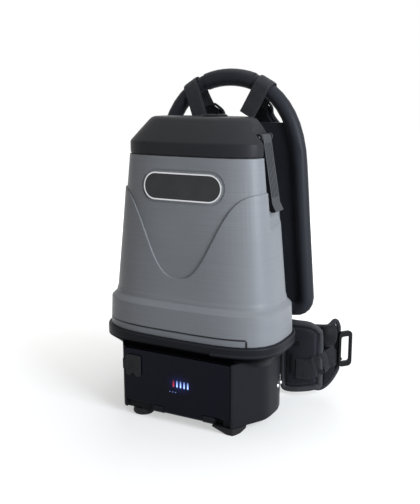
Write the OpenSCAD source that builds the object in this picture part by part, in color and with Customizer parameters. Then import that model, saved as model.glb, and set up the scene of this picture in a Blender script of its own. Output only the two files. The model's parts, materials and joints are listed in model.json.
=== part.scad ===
// Backpack vacuum cleaner: battery machine on an arched back frame.
// Millimetres. +Z is up, -Y is the machine's front, +Y is the wearer's side.
// The origin lies on the floor, under the centre of the whole part.

/* [Skirt and tank moulding] */
// Width over the skirt band
skirt_w = 328; // [316:2:340]
// Depth of the skirt ahead of the machine's centre line
skirt_front = 101; // [98:1:106]
// Depth of the skirt behind the centre line
skirt_rear = 87; // [83:1:90]
// Height of the skirt's lower edge above the floor
skirt_z = 155; // [150:1:160]
// Height of the upright skirt band
skirt_h = 50; // [44:1:56]
// Height of the sloping shoulder above the band
shoulder_h = 21; // [18:1:26]
// How far the shoulder draws in
shoulder_in = 15; // [12:1:17]
// Height of the tank's mouth above the floor
tank_z = 457; // [445:1:470]
// Width across the tank's mouth
tank_w = 256; // [248:2:264]
// Depth of the tank's mouth ahead of the centre line
tank_front = 67; // [64:1:72]
// Depth of the tank's mouth behind the centre line
tank_rear = 62; // [58:1:66]
// Wall of the grey moulding
wall = 3.5; // [2.5:0.5:4.5]
// How far the lower panel stands proud of the upper one
step_t = 2.5; // [1:0.5:4]
// Lowest point of the line between the two panels
step_z = 256; // [245:1:270]
// Height from that point to the line at the sides
step_rise = 146; // [130:2:160]
// Half-width at which the line turns from valley to hill
step_half = 76; // [68:1:84]

/* [Lid] */
// Height of the lid's upright rim
rim_h = 21; // [16:1:26]
// Height of the sloping part above the rim
slope_h = 40; // [34:1:46]
// Width of the lid's flat top
lid_top_w = 188; // [176:2:200]
// Depth of the flat top ahead of the centre line
lid_top_front = 27; // [22:1:34]
// Depth of the flat top behind the centre line
lid_top_rear = 51; // [49:1:54]
// Wall of the lid
lid_wall = 3; // [2:0.5:4]
// Radius of the hose inlet's bore
inlet_r = 16; // [14:0.5:18]
// Inlet's distance to the right of the centre line
inlet_x = 10; // [0:1:16]
// Inlet's distance behind the centre line
inlet_y = 26; // [20:1:28]

/* [Latches] */
// Width of a latch
latch_w = 33; // [26:1:38]
// Length of a latch from its pin to its lip
latch_l = 124; // [112:1:130]
// Thickness of a latch
latch_t = 10; // [8:0.5:12]
// Lean of a latch against the upright, in degrees
latch_lean = 9.5; // [8:0.5:10.5]
// How far a latch's pin lies inside the tank's side
latch_in = 14.5; // [13:0.5:16]
// Height of a latch's pin above the tank's mouth
latch_up = 32; // [27:1:35]
// Centre of a latch behind the machine's centre line
latch_y = 4; // [0:1:8]
// Gap between a latch and the recess behind it
latch_gap = 2; // [1:0.5:3]

/* [Base] */
// Width over the base
base_w = 290; // [282:2:296]
// Width of the base's flat front
front_w = 220; // [214:1:224]
// Height of the base's underside above the floor
base_z = 12; // [10:1:14]
// Height at which the side walls start to flare
flare_z = 104; // [98:1:110]
// How far the black lip stands out past the skirt
lip_over = 5; // [3:0.5:7]
// Height of the lip's edge
lip_h = 19; // [16:1:22]
// Wall of the base
base_wall = 4; // [3:0.5:5]
// Width of the battery opening
bay_w = 206; // [202:1:208]
// Height of the battery opening
bay_h = 99; // [95:1:101]

/* [Battery and its door] */
// Thickness of the door's panel
door_t = 4; // [3:0.5:5]
// Gap round the door
door_gap = 1.2; // [0.8:0.1:2]
// Height of the door's lower edge above the floor
door_z = 28.5; // [28:0.5:30]
// Height of the door's hinge line above the floor
hinge_z = 21; // [20:0.5:22]
// Radius of the hinge barrel
barrel_r = 6.5; // [5.5:0.5:7]
// Radius of the hinge pin
pin_r = 2.5; // [2:0.25:3]
// Width of the battery pack
pack_w = 188; // [170:2:192]
// Depth of the battery pack
pack_d = 92; // [80:1:96]
// Height of the battery pack
pack_h = 88; // [80:1:90]
// Travel of the door's latch
bolt_travel = 6; // [4:0.5:7]

/* [Motor and filters] */
// Radius of the fan housing
fan_r = 62; // [54:1:66]
// Height of the fan housing
fan_h = 44; // [38:1:46]
// Radius of the motor can
can_r = 43; // [38:1:48]
// Radius of the pleated filter
filter_r = 52; // [44:1:56]
// Height of the pleated filter
filter_h = 14; // [10:1:18]
// Thickness of the motor deck
deck_t = 4; // [3:0.5:5]

/* [Back frame] */
// Diameter of the arched handle's tube
tube_d = 28; // [24:1:30]
// Distance of the frame's middle plane behind the machine's centre line
frame_y = 108; // [106:1:112]
// Height of the arch above the floor
arch_z = 602; // [595:1:612]
// Width over the frame at shoulder height
frame_top_w = 302; // [296:2:308]
// Width over the frame at its foot
frame_foot_w = 340; // [332:2:346]
// Height of the frame's lower edge
frame_foot_z = 158; // [156:1:162]
// Height of the hand window's sill
window_z = 508; // [498:1:514]
// Thickness of the plate between the tubes
plate_t = 9; // [7:1:12]

/* [Harness] */
// Width of the webbing on the arch
web_w = 30; // [25:1:34]
// Thickness of the webbing
web_t = 2; // [1.5:0.25:2.5]
// Width of a shoulder pad
pad_w = 62; // [56:1:66]
// Thickness of a shoulder pad
pad_t = 14; // [10:1:16]
// Thickness of the back pad at its crown
back_t = 24; // [18:1:26]
// Height of the back pad
back_h = 250; // [230:2:256]
// Width of the back pad
back_w = 206; // [190:2:212]
// Thickness of the lumbar pad
lumbar_t = 22; // [16:1:24]
// Width of the lumbar pad
lumbar_w = 212; // [206:2:218]
// Thickness of a belt wing
wing_t = 14; // [11:1:16]
// Thickness of the padded cover on a wing
cover_t = 12; // [9:1:14]
// Width of the belt's webbing
belt_web = 38; // [32:1:40]

/* [Hidden] */
$fn = 48;

eps = 0.05;
fit = 0.3;                 // clearance between pieces that seat on one another
running = 0.08;            // radial clearance of a pin that turns
press = 0.02;              // radial clearance of a pin or bolt that is held
socket = 0.1;              // radial clearance of a stem in its socket
oval_n = 64;               // points round an oval section
far = 400;

// Derived heights of the grey moulding
band_z = skirt_z + skirt_h;
waist_z = band_z + shoulder_h;
band_lean = 2;
waist_half = skirt_w / 2 - shoulder_in;
waist_front = skirt_front - shoulder_in;
waist_rear = skirt_rear - shoulder_in;
front_power = 3.5;         // squareness of the oval's front half
rear_power = 2.6;          // squareness of its rear half
deck_z = waist_z + 6;      // top of the ledge that carries the motor deck
lid_z = tank_z + 2.2;      // lower edge of the lid
rim_z = lid_z + rim_h;
lid_top_z = rim_z + slope_h;
latch_pin_x = tank_w / 2 - latch_in;
latch_pin_z = tank_z + latch_up;
// Depth of the base ahead of the centre line, level with the skirt's front
base_front = skirt_front;
base_oval_front = skirt_front - (skirt_w - base_w) / 2;
base_oval_rear = skirt_rear - (skirt_w - base_w) / 2;
lip_z = skirt_z - lip_h;
corner_r = 9;

// ---------- helpers ----------
function power(v, p) = sign(v) * pow(abs(v), p);

// Oval section: a superellipse whose front and rear halves have their own depth and squareness
function oval(half, front, rear) = [for (i = [0:oval_n - 1]) let (t = 360 * i / oval_n)
    t <= 180 ? [half * power(cos(t), 2 / rear_power), rear * power(sin(t), 2 / rear_power)]
             : [half * power(cos(t), 2 / front_power), front * power(sin(t), 2 / front_power)]];

function at_z(outline, z) = [for (p = outline) [p[0], p[1], z]];

// Solid through closed rings with equal counts, each ring anticlockwise seen from the last one.
// Its ends are fans round the rings' middles.
function middle(ring) = [for (p = ring) 1 / len(ring)] * ring;
module loft(rings) {
    n = len(rings[0]);
    last = len(rings) - 1;
    count = n * len(rings);
    points = concat([for (r = rings) each r], [middle(rings[0]), middle(rings[last])]);
    sides = [for (j = [0:last - 1], i = [0:n - 1]) let (a = j * n + i, b = j * n + (i + 1) % n)
        each [[a, a + n, b], [b, a + n, b + n]]];
    caps = [for (i = [0:n - 1]) let (j = (i + 1) % n)
        each [[i, j, count], [last * n + j, last * n + i, count + 1]]];
    polyhedron(points, concat(sides, caps), convexity = 8);
}

// Endless solid through rings whose last one joins the first
module loop_loft(rings) {
    n = len(rings[0]);
    m = len(rings);
    points = [for (r = rings) each r];
    sides = [for (j = [0:m - 1], i = [0:n - 1])
        let (a = j * n + i, b = j * n + (i + 1) % n, c = ((j + 1) % m) * n + i,
             d = ((j + 1) % m) * n + (i + 1) % n)
        each [[a, c, b], [b, c, d]]];
    polyhedron(points, sides, convexity = 8);
}

function unit(v) = v / norm(v);
function mid_tangent(path, i) = unit(path[min(i + 1, len(path) - 1)] - path[max(i - 1, 0)]);

// Section of a band or pad at path point p: across runs along the width, out is its face
function section(p, across, out, shape) = [for (s = shape) p + across * s[0] + out * s[1]];

// Sweeps sections along a path; wide_dir is the rough direction of the width
function sweep_rings(path, wide_dir, shapes) = [for (i = [0:len(path) - 1])
    let (t = mid_tangent(path, i), w = unit(wide_dir - (wide_dir * t) * t), n = cross(t, w))
    section(path[i], w, n, shapes[i])];

function bezier(a, b, c, d, t) = pow(1 - t, 3) * a + 3 * pow(1 - t, 2) * t * b
    + 3 * (1 - t) * pow(t, 2) * c + pow(t, 3) * d;

// Smooth curve through a few points
function spline_point(p, i, t) = let (a = p[max(i - 1, 0)], b = p[i], c = p[i + 1],
    d = p[min(i + 2, len(p) - 1)])
    0.5 * ((2 * b) + (c - a) * t + (2 * a - 5 * b + 4 * c - d) * t * t
    + (3 * b - a - 3 * c + d) * t * t * t);
function spline(p, n) = concat([for (i = [0:len(p) - 2], k = [0:n - 1]) spline_point(p, i, k / n)],
    [p[len(p) - 1]]);

function round_rect(w, h, r, n = 6) = [for (c = [[1, 1, 0], [-1, 1, 90], [-1, -1, 180], [1, -1, 270]],
    k = [0:n]) [c[0] * (w / 2 - r) + r * cos(c[2] + 90 * k / n),
                c[1] * (h / 2 - r) + r * sin(c[2] + 90 * k / n)]];

// Rounded block, rounded in plan, from z = 0 up
module slab(w, d, h, r) linear_extrude(h) polygon(round_rect(w, d, r));

// Upright plate: outline in X and Z, from y towards the rear by t
module upright(y, t) translate([0, y + t, 0]) rotate([90, 0, 0]) linear_extrude(t) children();

module both() {
    children();
    mirror([1, 0, 0]) children();
}

// ---------- the grey moulding's form ----------
shoulder_steps = [0, 0.12, 0.28, 0.46, 0.64, 0.82, 1];
function shoulder_in_at(s) = band_lean + (shoulder_in - band_lean) * sin(90 * s);
form_zs = concat([skirt_z, band_z - 3], [for (s = shoulder_steps) band_z + s * shoulder_h], [tank_z]);
function form_inset(z) = z <= band_z ? band_lean * (z - skirt_z) / skirt_h
    : shoulder_in_at((z - band_z) / shoulder_h);
function form_size(z) = z <= waist_z
    ? [skirt_w / 2, skirt_front, skirt_rear] - form_inset(z) * [1, 1, 1]
    : let (s = (z - waist_z) / (tank_z - waist_z))
      [waist_half, waist_front, waist_rear] * (1 - s) + [tank_w / 2, tank_front, tank_rear] * s;
// The moulding's section at height z, offset by out, laid at another height
function flat_ring(z, out, lay) = [for (p = form_ring(z, out)) [p[0], p[1], lay]];
function proud(z, out) = z < band_z + shoulder_h / 2 ? 0 : out;
function form_ring(z, out) = let (f = form_size(z) + out * [1, 1, 1]) at_z(oval(f[0], f[1], f[2]), z);

// Outside of the grey moulding, its tank standing out by `out`
module form(out) loft([for (z = form_zs) form_ring(z, proud(z, out))]);

// Straight-sided tank from below the badge to its mouth, for skins and pockets on it
module tank_skin_solid(out) loft([form_ring(waist_z, out), form_ring(tank_z, out)]);

// The line between the panels, its valley a little left of the centre plane
valley_x = -4;
function step_line(x) = step_z + step_rise * (1 - exp(-pow(abs(x - valley_x) / step_half, 2.72)));

// Everything above the line between the panels: a valley in front, level round the back
module upper_panel_region() {
    rotate([90, 0, 0]) linear_extrude(far) polygon(concat(
        [for (x = [-180:5:180]) [x, step_line(x)]], [[180, tank_z + 9], [-180, tank_z + 9]]));
    translate([-180, -1, step_line(180)]) cube([360, 180, far]);
}

// Recess behind a latch: leaning floor, open at the mouth, rising to the surface at its foot
recess_y0 = latch_y - latch_w / 2 - 13.5;
recess_y1 = latch_y + latch_w / 2 + 13;
function latch_line(z) = latch_pin_x + (latch_pin_z - z) * tan(latch_lean);
floor_off = (latch_t / 2 + latch_gap) / cos(latch_lean);
recess_foot = latch_pin_z - latch_l - 13;
module latch_recess(grow = 0) let (top = lid_top_z + 9) translate([0, recess_y1 + grow, 0]) rotate([90, 0, 0])
    linear_extrude(recess_y1 - recess_y0 + 2 * grow) polygon([
        [latch_line(top) - floor_off - grow, top], [far / 2, top], [far / 2, recess_foot - 60],
        [latch_line(recess_foot) + 10, recess_foot - 21 - 1.4 * grow],
        [latch_line(recess_foot) - floor_off - grow, recess_foot]]);

// Pill outline in X and Z at the badge
badge_w = 147;
badge_h = 46;
badge_x = -1.5;
badge_zc = tank_z - 49;
module pill(w, h) translate([badge_x, badge_zc]) polygon(round_rect(w, h, h / 2 - 0.01, 12));
module pill_prism(grow, y0 = -far) upright(y0, -y0) pill(badge_w + 2 * grow, badge_h + 2 * grow);

// ---------- machine ----------
ledge = 5;                 // width of the ledge under the motor deck
function cavity_ring(z, inset) = form_ring(z, -inset);

module body_shell() color([0.55, 0.57, 0.60]) difference() {
    form(step_t);
    // Upper panel, sunk to the tank's own surface
    difference() {
        upper_panel_region();
        tank_skin_solid(0);
    }
    // Dust chamber, kept clear of the walls behind the latches
    difference() {
        loft([cavity_ring(deck_z, wall), flat_ring(tank_z, -wall, tank_z + 1)]);
        both() latch_recess(wall);
    }
    // Motor room
    loft([flat_ring(skirt_z, -wall - 1.5, skirt_z - 1), cavity_ring(band_z - 2, wall + 3),
        cavity_ring(waist_z - 8, wall + ledge), flat_ring(deck_z, -wall - ledge, deck_z + 1)]);
    both() latch_recess();
    // Pocket for the badge with its sunk surround
    intersection() {
        difference() {
            tank_skin_solid(1);
            tank_skin_solid(-1.2);
        }
        pill_prism(4.5);
    }
    trim_pocket();
}

// Cover strip let into the skirt's lower edge, from round the left side to right of the front
trim_left = -150;
trim_right = 126;
trim_h = 12;
trim_t = 2.2;
trim_gap = 0.8;
// Upright skin on the skirt between two offsets, from the front as far back as y = -20
module skirt_skin(out, in, low, high, grow) intersection() {
    difference() {
        loft([flat_ring(skirt_z, out, low), form_ring(high, out)]);
        loft([flat_ring(skirt_z, in, low - 1), form_ring(high + 1, in)]);
    }
    upright(-far, far - 20) translate([(trim_left + trim_right) / 2, high - trim_h])
        polygon(round_rect(trim_right - trim_left + 2 * grow, 2 * trim_h, 4 + grow));
}
module trim_pocket() skirt_skin(3, -trim_t - fit, skirt_z - 1, skirt_z + trim_h + trim_gap, trim_gap);
module skirt_trim() color([0.52, 0.55, 0.59]) skirt_skin(0, -trim_t, skirt_z, skirt_z + trim_h, 0);

bezel_w = 2.2;
module badge_bezel() color([0.80, 0.81, 0.83]) intersection() {
    difference() {
        tank_skin_solid(1.6);
        tank_skin_solid(-1.2);
    }
    difference() {
        pill_prism(0);
        pill_prism(-bezel_w);
    }
}

module badge_plate() color([0.20, 0.21, 0.22]) intersection() {
    difference() {
        tank_skin_solid(0.6);
        tank_skin_solid(-1.2);
    }
    pill_prism(-bezel_w);
}

// Base plan: oval sides and rear, flat front with rounded corners
tangent_t = 28;
function base_outline(inset) = let (a = base_w / 2 - inset, f = base_oval_front - inset,
    r = max(corner_r - inset, 0.5), cx = front_w / 2 - corner_r, cy = base_front - corner_r,
    side = [for (k = [0:4]) let (t = -tangent_t * (1 - k / 4))
        [a * power(cos(t), 2 / front_power), f * power(sin(t), 2 / front_power)]],
    corner = [for (k = [0:5]) let (g = -90 + 59 * k / 5) [cx + r * cos(g), -cy + r * sin(g)]],
    rear = [for (i = [1:2:35]) let (t = 180 * i / 36)
        [a * power(cos(t), 2 / rear_power), (base_oval_rear - inset) * power(sin(t), 2 / rear_power)]])
    concat(corner, side, rear, [for (i = [4:-1:0]) [-side[i][0], side[i][1]]],
        [for (i = [5:-1:0]) [-corner[i][0], corner[i][1]]]);

flare_n = 7;
flare_run = (skirt_w - base_w) / 2 + 1;
function flare_in(s) = flare_run - (flare_run + lip_over) * (1 - cos(90 * s));
function skirt_oval(inset, z) = at_z(oval(skirt_w / 2 - inset, skirt_front - inset, skirt_rear - inset), z);

bay_z = door_z - 1.5;
bay_x = 1;                 // the opening lies a little to the right
bay_d = pack_d + 18;       // depth from the base's front to the bay's rear wall
bay_wall = 3;
hinge_y = -base_front + 6; // hinge line, inside the front plane
knuckle_w = 20;
barrel_x0 = -25;
barrel_x1 = 52;
knuckle_gap = 0.4;
end_room = 16;             // clear length beside the right knuckle's end
relief_x = 68;             // right end of the relief under the lip
relief_h = 13;
roof_z = bay_z + bay_h;

web_h = 9;                 // height of the web behind a knuckle
vent_n = 7;                // slots of the exhaust in the rear wall
vent_w = 84;
vent_h = 5;
vent_z = 42;
vent_pitch = 9;
module base_housing() color([0.07, 0.07, 0.08]) {
    difference() {
        union() {
            loft([at_z(base_outline(3), base_z), at_z(base_outline(1), base_z + 1.2),
                at_z(base_outline(0), base_z + 4), at_z(base_outline(0), lip_z + 2)]);
            // Flare and lip
            loft(concat([for (k = [0:flare_n]) let (s = k / flare_n)
                    skirt_oval(flare_in(s), flare_z + (lip_z - flare_z) * s)],
                [skirt_oval(-lip_over, lip_z + 2), skirt_oval(-lip_over, skirt_z - 3),
                 skirt_oval(-lip_over + 0.8, skirt_z - 1), skirt_oval(-lip_over + 2.5, skirt_z)]));
        }
        // Inside, open towards the grey moulding
        difference() {
            union() {
                loft([at_z(base_outline(base_wall), base_z + base_wall),
                    at_z(base_outline(base_wall), lip_z - 3)]);
                loft([skirt_oval(18, lip_z - 4), skirt_oval(wall + 4, lip_z + 6),
                    skirt_oval(wall + 4, skirt_z + 1)]);
            }
            // Walls of the battery bay
            translate([bay_x - bay_w / 2 - bay_wall, -far, 0])
                cube([bay_w + 2 * bay_wall, far - base_front + bay_d + bay_wall, roof_z + bay_wall]);
        }
        // Battery bay
        translate([bay_x - bay_w / 2, -far, bay_z]) cube([bay_w, far - base_front + bay_d, bay_h]);
        // Room for the door's hinge under the opening
        translate([bay_x - bay_w / 2, -far, -1]) cube([bay_w, far + hinge_y + 1, bay_z + 2]);
        translate([barrel_x0 - knuckle_w - 2, -far, -1]) cube([
            barrel_x1 - barrel_x0 + 2 * knuckle_w + 2 + end_room, far + hinge_y + barrel_r + 2, bay_z + 2]);
        // Stepped relief in the front of the lip
        translate([-front_w / 2, -far, lip_z - 5])
            cube([front_w / 2 + relief_x, far - base_front + 1, relief_h]);
        // Slots of the exhaust
        for (k = [0:vent_n - 1]) translate([-vent_w / 2, base_oval_rear - 14, vent_z + vent_pitch * k])
            cube([vent_w, 30, vent_h]);
        // Open notch for the door's bolt
        translate([bay_x - bay_w / 2 - 5, -far, latch_zc - 10])
            cube([6, far - base_front + door_t + 3, 20]);
        // Sockets for feet and rivets
        for (p = foot_points) translate([p[0], p[1], -1])
            cylinder(r = stem_r + socket, h = base_z + base_wall + 2);
        rivet_holes();
    }
    // Knuckles
    for (x = [barrel_x0 - knuckle_gap - knuckle_w, barrel_x1 + knuckle_gap]) difference() {
        union() {
            translate([x, hinge_y, hinge_z]) rotate([0, 90, 0]) cylinder(r = barrel_r + 1, h = knuckle_w);
            translate([x, hinge_y, hinge_z - web_h / 2]) cube([knuckle_w, barrel_r + 3, web_h]);
        }
        translate([x - 1, hinge_y, hinge_z]) rotate([0, 90, 0])
            cylinder(r = pin_r + press, h = knuckle_w + 2);
    }
}

// Feet: round discs, and a moulded shoe under the right front corner
stem_r = 4;
foot_r = 19;
foot_left = [-78, -80];
foot_right = [104, -82];
feet_back = [[-84, 34], [84, 34]];
foot_points = concat([foot_left, foot_right], feet_back);
module foot(p) translate([p[0], p[1], 0]) {
    rotate_extrude() polygon([[0, 0], [foot_r - 2.5, 0], [foot_r, 2.5], [foot_r, 6],
        [foot_r - 2, base_z], [0, base_z]]);
    cylinder(r = stem_r, h = base_z + base_wall);
}
module foot_front_left() color([0.05, 0.05, 0.05]) foot(foot_left);
// The shoe's outline from the front: a long ramp on the left and a rounded heel under the corner
shoe = [[-36, base_z], [-35, 9.5], [-12, 1.2], [-7, 0], [6, 0], [11, 1.6], [14.5, 5.5], [16, base_z]];
module foot_front_right() color([0.05, 0.05, 0.05]) {
    difference() {
        intersection() {
            translate([foot_right[0], foot_right[1], 0]) upright(-16, 29) polygon(shoe);
            linear_extrude(base_z) polygon(base_outline(0.8));
        }
        // Small blind hole near the heel's right end
        translate([foot_right[0] + 9, foot_right[1] - 8, 6]) rotate([0, 60, -30])
            cylinder(r = 2, h = 20);
    }
    translate([foot_right[0], foot_right[1], 0]) cylinder(r = stem_r, h = base_z + base_wall);
}
module feet_rear() color([0.05, 0.05, 0.05]) for (p = feet_back) foot(p);

rivet_z = 60;
rivet_ys = [4, 20];
rivet_r = 2;
rivet_l = 8;
head_r = 4;
function side_x(y) = base_w / 2 * pow(1 - pow(y / base_oval_rear, rear_power), 1 / rear_power);
// Places what belongs to each rivet where its head touches the base's side
module at_rivets() for (y = rivet_ys) translate([side_x(y - head_r) + fit / 2, y, rivet_z])
    rotate([0, 90, 0]) children();
module rivet_holes() at_rivets() translate([0, 0, -rivet_l - 1])
    cylinder(r = rivet_r + socket, h = rivet_l + head_r);
module side_rivets() color([0.9, 0.9, 0.9]) at_rivets() {
    translate([0, 0, -rivet_l]) cylinder(r = rivet_r, h = rivet_l + 1);
    rotate_extrude() polygon([[0, 0], [head_r, 0], [head_r - 0.6, 1.4], [head_r - 2, 2.4], [0, 2.8]]);
}

// ---------- battery ----------
pack_front = -base_front + door_t + 7;
module battery_pack() color([0.13, 0.14, 0.16]) translate([bay_x, pack_front + pack_d / 2, bay_z + 0.3])
    difference() {
        slab(pack_w, pack_d, pack_h, 6);
        for (z = [16, 30, 58, 72]) translate([0, -pack_d / 2, z]) cube([pack_w - 40, 2.4, 4], center = true);
        translate([0, -pack_d / 2, pack_h / 2]) cube([70, 16, 16], center = true);
        translate([0, pack_d / 2, 30]) cube([62, 10, 20], center = true);
    }

module battery_terminals() color([0.70, 0.55, 0.25]) translate([bay_x, -base_front + bay_d, bay_z + 30.3]) {
    translate([-25, -3, -7]) cube([50, 3, 14]);
    for (x = [-16, 0, 16]) translate([x - 1, -8.6, -5]) cube([2, 6, 10]);
}

board_w = 116;
board_h = 60;
board_t = 1.6;
board_stand = 5;
board_z = 30;
module control_board() color([0.1, 0.3, 0.15]) translate([0, -base_front + bay_d + bay_wall, board_z]) {
    for (x = [-1, 1], z = [8, board_h - 8]) translate([x * (board_w / 2 - 8), 0, z]) rotate([-90, 0, 0])
        cylinder(r = 3, h = board_stand);
    translate([-board_w / 2, board_stand, 0]) cube([board_w, board_t, board_h]);
    // Heat sink and capacitors
    translate([-40, board_stand + board_t, 12]) cube([44, 9, 34]);
    for (x = [18, 34]) translate([x, board_stand + board_t, 34]) rotate([-90, 0, 0]) cylinder(r = 6, h = 9);
}

exhaust_w = 104;
exhaust_h = 88;
exhaust_t = 8;
exhaust_y = base_oval_rear - base_wall - exhaust_t - 5;
module exhaust_filter() color([0.18, 0.18, 0.19])
    translate([-exhaust_w / 2, exhaust_y, base_z + base_wall]) cube([exhaust_w, exhaust_t, exhaust_h]);

// Door: panel with a turned-in flange, hung on a barrel below its lower edge
door_w = bay_w - 2 * door_gap;
door_h = bay_h + bay_z - door_z - door_gap - 1;
latch_xc = -84;
latch_zc = 94;
latch_slot_h = 14;
module battery_door() color([0.06, 0.06, 0.09]) difference() {
    union() {
        translate([bay_x, 0, door_z + door_h / 2]) upright(-base_front, door_t)
            polygon(round_rect(door_w, door_h, 4));
        // Flange round the rear
        translate([bay_x, 0, door_z + door_h / 2]) upright(-base_front + door_t, 2.6) difference() {
            polygon(round_rect(door_w - 2, door_h - 2, 3));
            polygon(round_rect(door_w - 7, door_h - 7, 2));
        }
        translate([barrel_x0, hinge_y, hinge_z]) rotate([0, 90, 0])
            cylinder(r = barrel_r, h = barrel_x1 - barrel_x0);
        translate([barrel_x0, -base_front, hinge_z])
            cube([barrel_x1 - barrel_x0, door_t, door_z - hinge_z + 1]);
    }
    translate([barrel_x0 - 1, hinge_y, hinge_z]) rotate([0, 90, 0])
        cylinder(r = pin_r + running, h = barrel_x1 - barrel_x0 + 2);
    // Slot for the latch's stem
    translate([latch_xc - 6, -base_front - 1, latch_zc - latch_slot_h / 2])
        cube([12 + bolt_travel, door_t + 9, latch_slot_h]);
    light_cells(0.1);
}

module door_latch() color([0.12, 0.12, 0.13]) {
    difference() {
        translate([latch_xc, 0, latch_zc]) upright(-base_front - 3.4, 3.2) polygon(round_rect(30, 38, 4));
        translate([latch_xc, -base_front - 4, latch_zc - 19]) rotate([0, 45, 0])
            cube(9, center = true);
        for (k = [-2:2]) translate([latch_xc - 3, -base_front - 3.4, latch_zc + 4 * k]) rotate([0, 90, 0])
            cylinder(r = 0.7, h = 14, center = true);
    }
    // Bolt towards the post, and the stem with its foot behind the panel
    translate([bay_x - bay_w / 2 - 4, -base_front - 1.4, latch_zc - 9])
        cube([latch_xc - bay_x + bay_w / 2 - 8, 1.2, 18]);
    translate([latch_xc - 4, -base_front - 0.3, latch_zc - latch_slot_h / 2 + 0.4])
        cube([8, door_t + 0.6, latch_slot_h - 0.8]);
    translate([latch_xc - 7, -base_front + door_t + 0.3, latch_zc - 11]) cube([14, 1.6, 22]);
}

light_x = -4;
bar_z = 73.5;              // middle of the bars
dot_z = 58.5;              // middle of the small dots under them
light_t = 1.2;
module light_cells(gap) {
    for (k = [0:4]) translate([light_x + 7 * k, -base_front - eps, bar_z]) rotate([-90, 0, 0])
        linear_extrude(light_t + gap) polygon(round_rect(2.6 + 2 * gap, 14 + 2 * gap, 1.2));
    for (k = [0:2]) translate([light_x - 7 + 5.5 * k, -base_front - eps, dot_z]) rotate([-90, 0, 0])
        cylinder(r = 1.1 + gap, h = light_t + gap);
}
module status_lights() color([0.5, 0.65, 1.0]) light_cells(0);

module door_pin() color([0.75, 0.75, 0.77])
    translate([barrel_x0 - knuckle_gap - knuckle_w, hinge_y, hinge_z]) rotate([0, 90, 0])
        cylinder(r = pin_r, h = barrel_x1 - barrel_x0 + 2 * (knuckle_gap + knuckle_w));

// ---------- motor room ----------
motor_xy = [0, 2];
fan_top = deck_z - 8;
can_foot = roof_z + bay_wall + 6;
module on_motor(z) translate([motor_xy[0], motor_xy[1], z]) children();

module motor_unit() color([0.45, 0.46, 0.48]) on_motor(0) difference() {
    rotate_extrude() polygon([[0, can_foot], [can_r - 3, can_foot], [can_r, can_foot + 3],
        [can_r, fan_top - fan_h], [fan_r - 2, fan_top - fan_h], [fan_r, fan_top - fan_h + 2],
        [fan_r, fan_top - 4], [fan_r - 4, fan_top], [0, fan_top]]);
    translate([0, 0, fan_top - 14]) cylinder(r = 22, h = 15);
}
module inlet_seal() color([0.1, 0.1, 0.1]) on_motor(fan_top) difference() {
    cylinder(r = 34, h = deck_z - fan_top);
    translate([0, 0, -1]) cylinder(r = 26, h = deck_z - fan_top + 2);
}
module motor_cradle() color([0.1, 0.1, 0.1]) on_motor(roof_z + bay_wall) difference() {
    cylinder(r = can_r + 7, h = 16);
    translate([0, 0, can_foot - roof_z - bay_wall]) cylinder(r = can_r + socket, h = 20);
    translate([0, 0, -1]) cylinder(r = can_r - 10, h = 20);
}
module motor_deck() color([0.16, 0.16, 0.17]) difference() {
    loft([cavity_ring(deck_z, wall + fit), cavity_ring(deck_z + deck_t, wall + fit)]);
    on_motor(deck_z - 1) difference() {
        cylinder(r = 24, h = deck_t + 2);
        for (g = [0:60:120]) rotate([0, 0, g]) translate([-30, -1.5, -1]) cube([60, 3, deck_t + 4]);
        translate([0, 0, -1]) cylinder(r = 6, h = deck_t + 4);
    }
}
pleats = 28;
module motor_filter() color([0.9, 0.9, 0.87]) on_motor(deck_z + deck_t) difference() {
    cylinder(r = filter_r, h = filter_h);
    translate([0, 0, -1]) cylinder(r = 30, h = filter_h - 3);
    for (g = [0:pleats - 1]) rotate([0, 0, 360 * g / pleats]) translate([filter_r - 6, -1.2, 2])
        cube([9, 2.4, filter_h - 4]);
}

// ---------- lid ----------
function lid_ring(z, inset) = let (s = max(0, (z - rim_z) / slope_h),
    f = [tank_w / 2 - 1, tank_front - 1, tank_rear - 1] * (1 - s)
        + [lid_top_w / 2, lid_top_front, lid_top_rear] * s - inset * [1, 1, 1])
    at_z(oval(f[0], f[1], f[2]), z);

function lid_flat_ring(inset, lay) = [for (p = lid_ring(lid_top_z, inset)) [p[0], p[1], lay]];
module lid_outer() loft([lid_ring(lid_z, 0.6), lid_ring(lid_z + 1.5, 0), lid_ring(rim_z - 3, 0),
    lid_ring(rim_z - 0.8, 0.7), lid_ring(rim_z + 1.5, 1), lid_ring(lid_top_z - 6, 0.3),
    lid_ring(lid_top_z - 2.5, 0.9), lid_flat_ring(2.4, lid_top_z - 0.6), lid_flat_ring(5, lid_top_z)]);

ear_t = 5;
module latch_ears() for (y = [latch_y - latch_w / 2 - 1 - ear_t, latch_y + latch_w / 2 + 1])
    translate([0, y, 0]) {
        translate([latch_pin_x, 0, latch_pin_z]) rotate([-90, 0, 0]) cylinder(r = 6, h = ear_t);
        translate([latch_pin_x - 12, 0, latch_pin_z - 6]) cube([12, ear_t, 11]);
    }

module lid_shell() color([0.22, 0.22, 0.24]) difference() {
    union() {
        difference() {
            lid_outer();
            difference() {
                loft([lid_ring(lid_z - 1, lid_wall + 1), lid_ring(rim_z, lid_wall + 1.5),
                    lid_ring(lid_top_z - lid_wall - 2, lid_wall + 1)]);
                both() latch_recess(lid_wall);
                inlet_boss();
            }
            both() latch_recess();
        }
        intersection() {
            both() latch_ears();
            translate([-far / 2, -far / 2, lid_z]) cube(far);
        }
    }
    both() translate([latch_pin_x, latch_y - latch_w / 2 - ear_t - 2, latch_pin_z])
        rotate([-90, 0, 0]) cylinder(r = pin_r + press, h = latch_w + 2 * ear_t + 4);
    translate([inlet_x, inlet_y, lid_z - 1]) cylinder(r = inlet_r + inlet_wall + eps, h = far);
}

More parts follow.
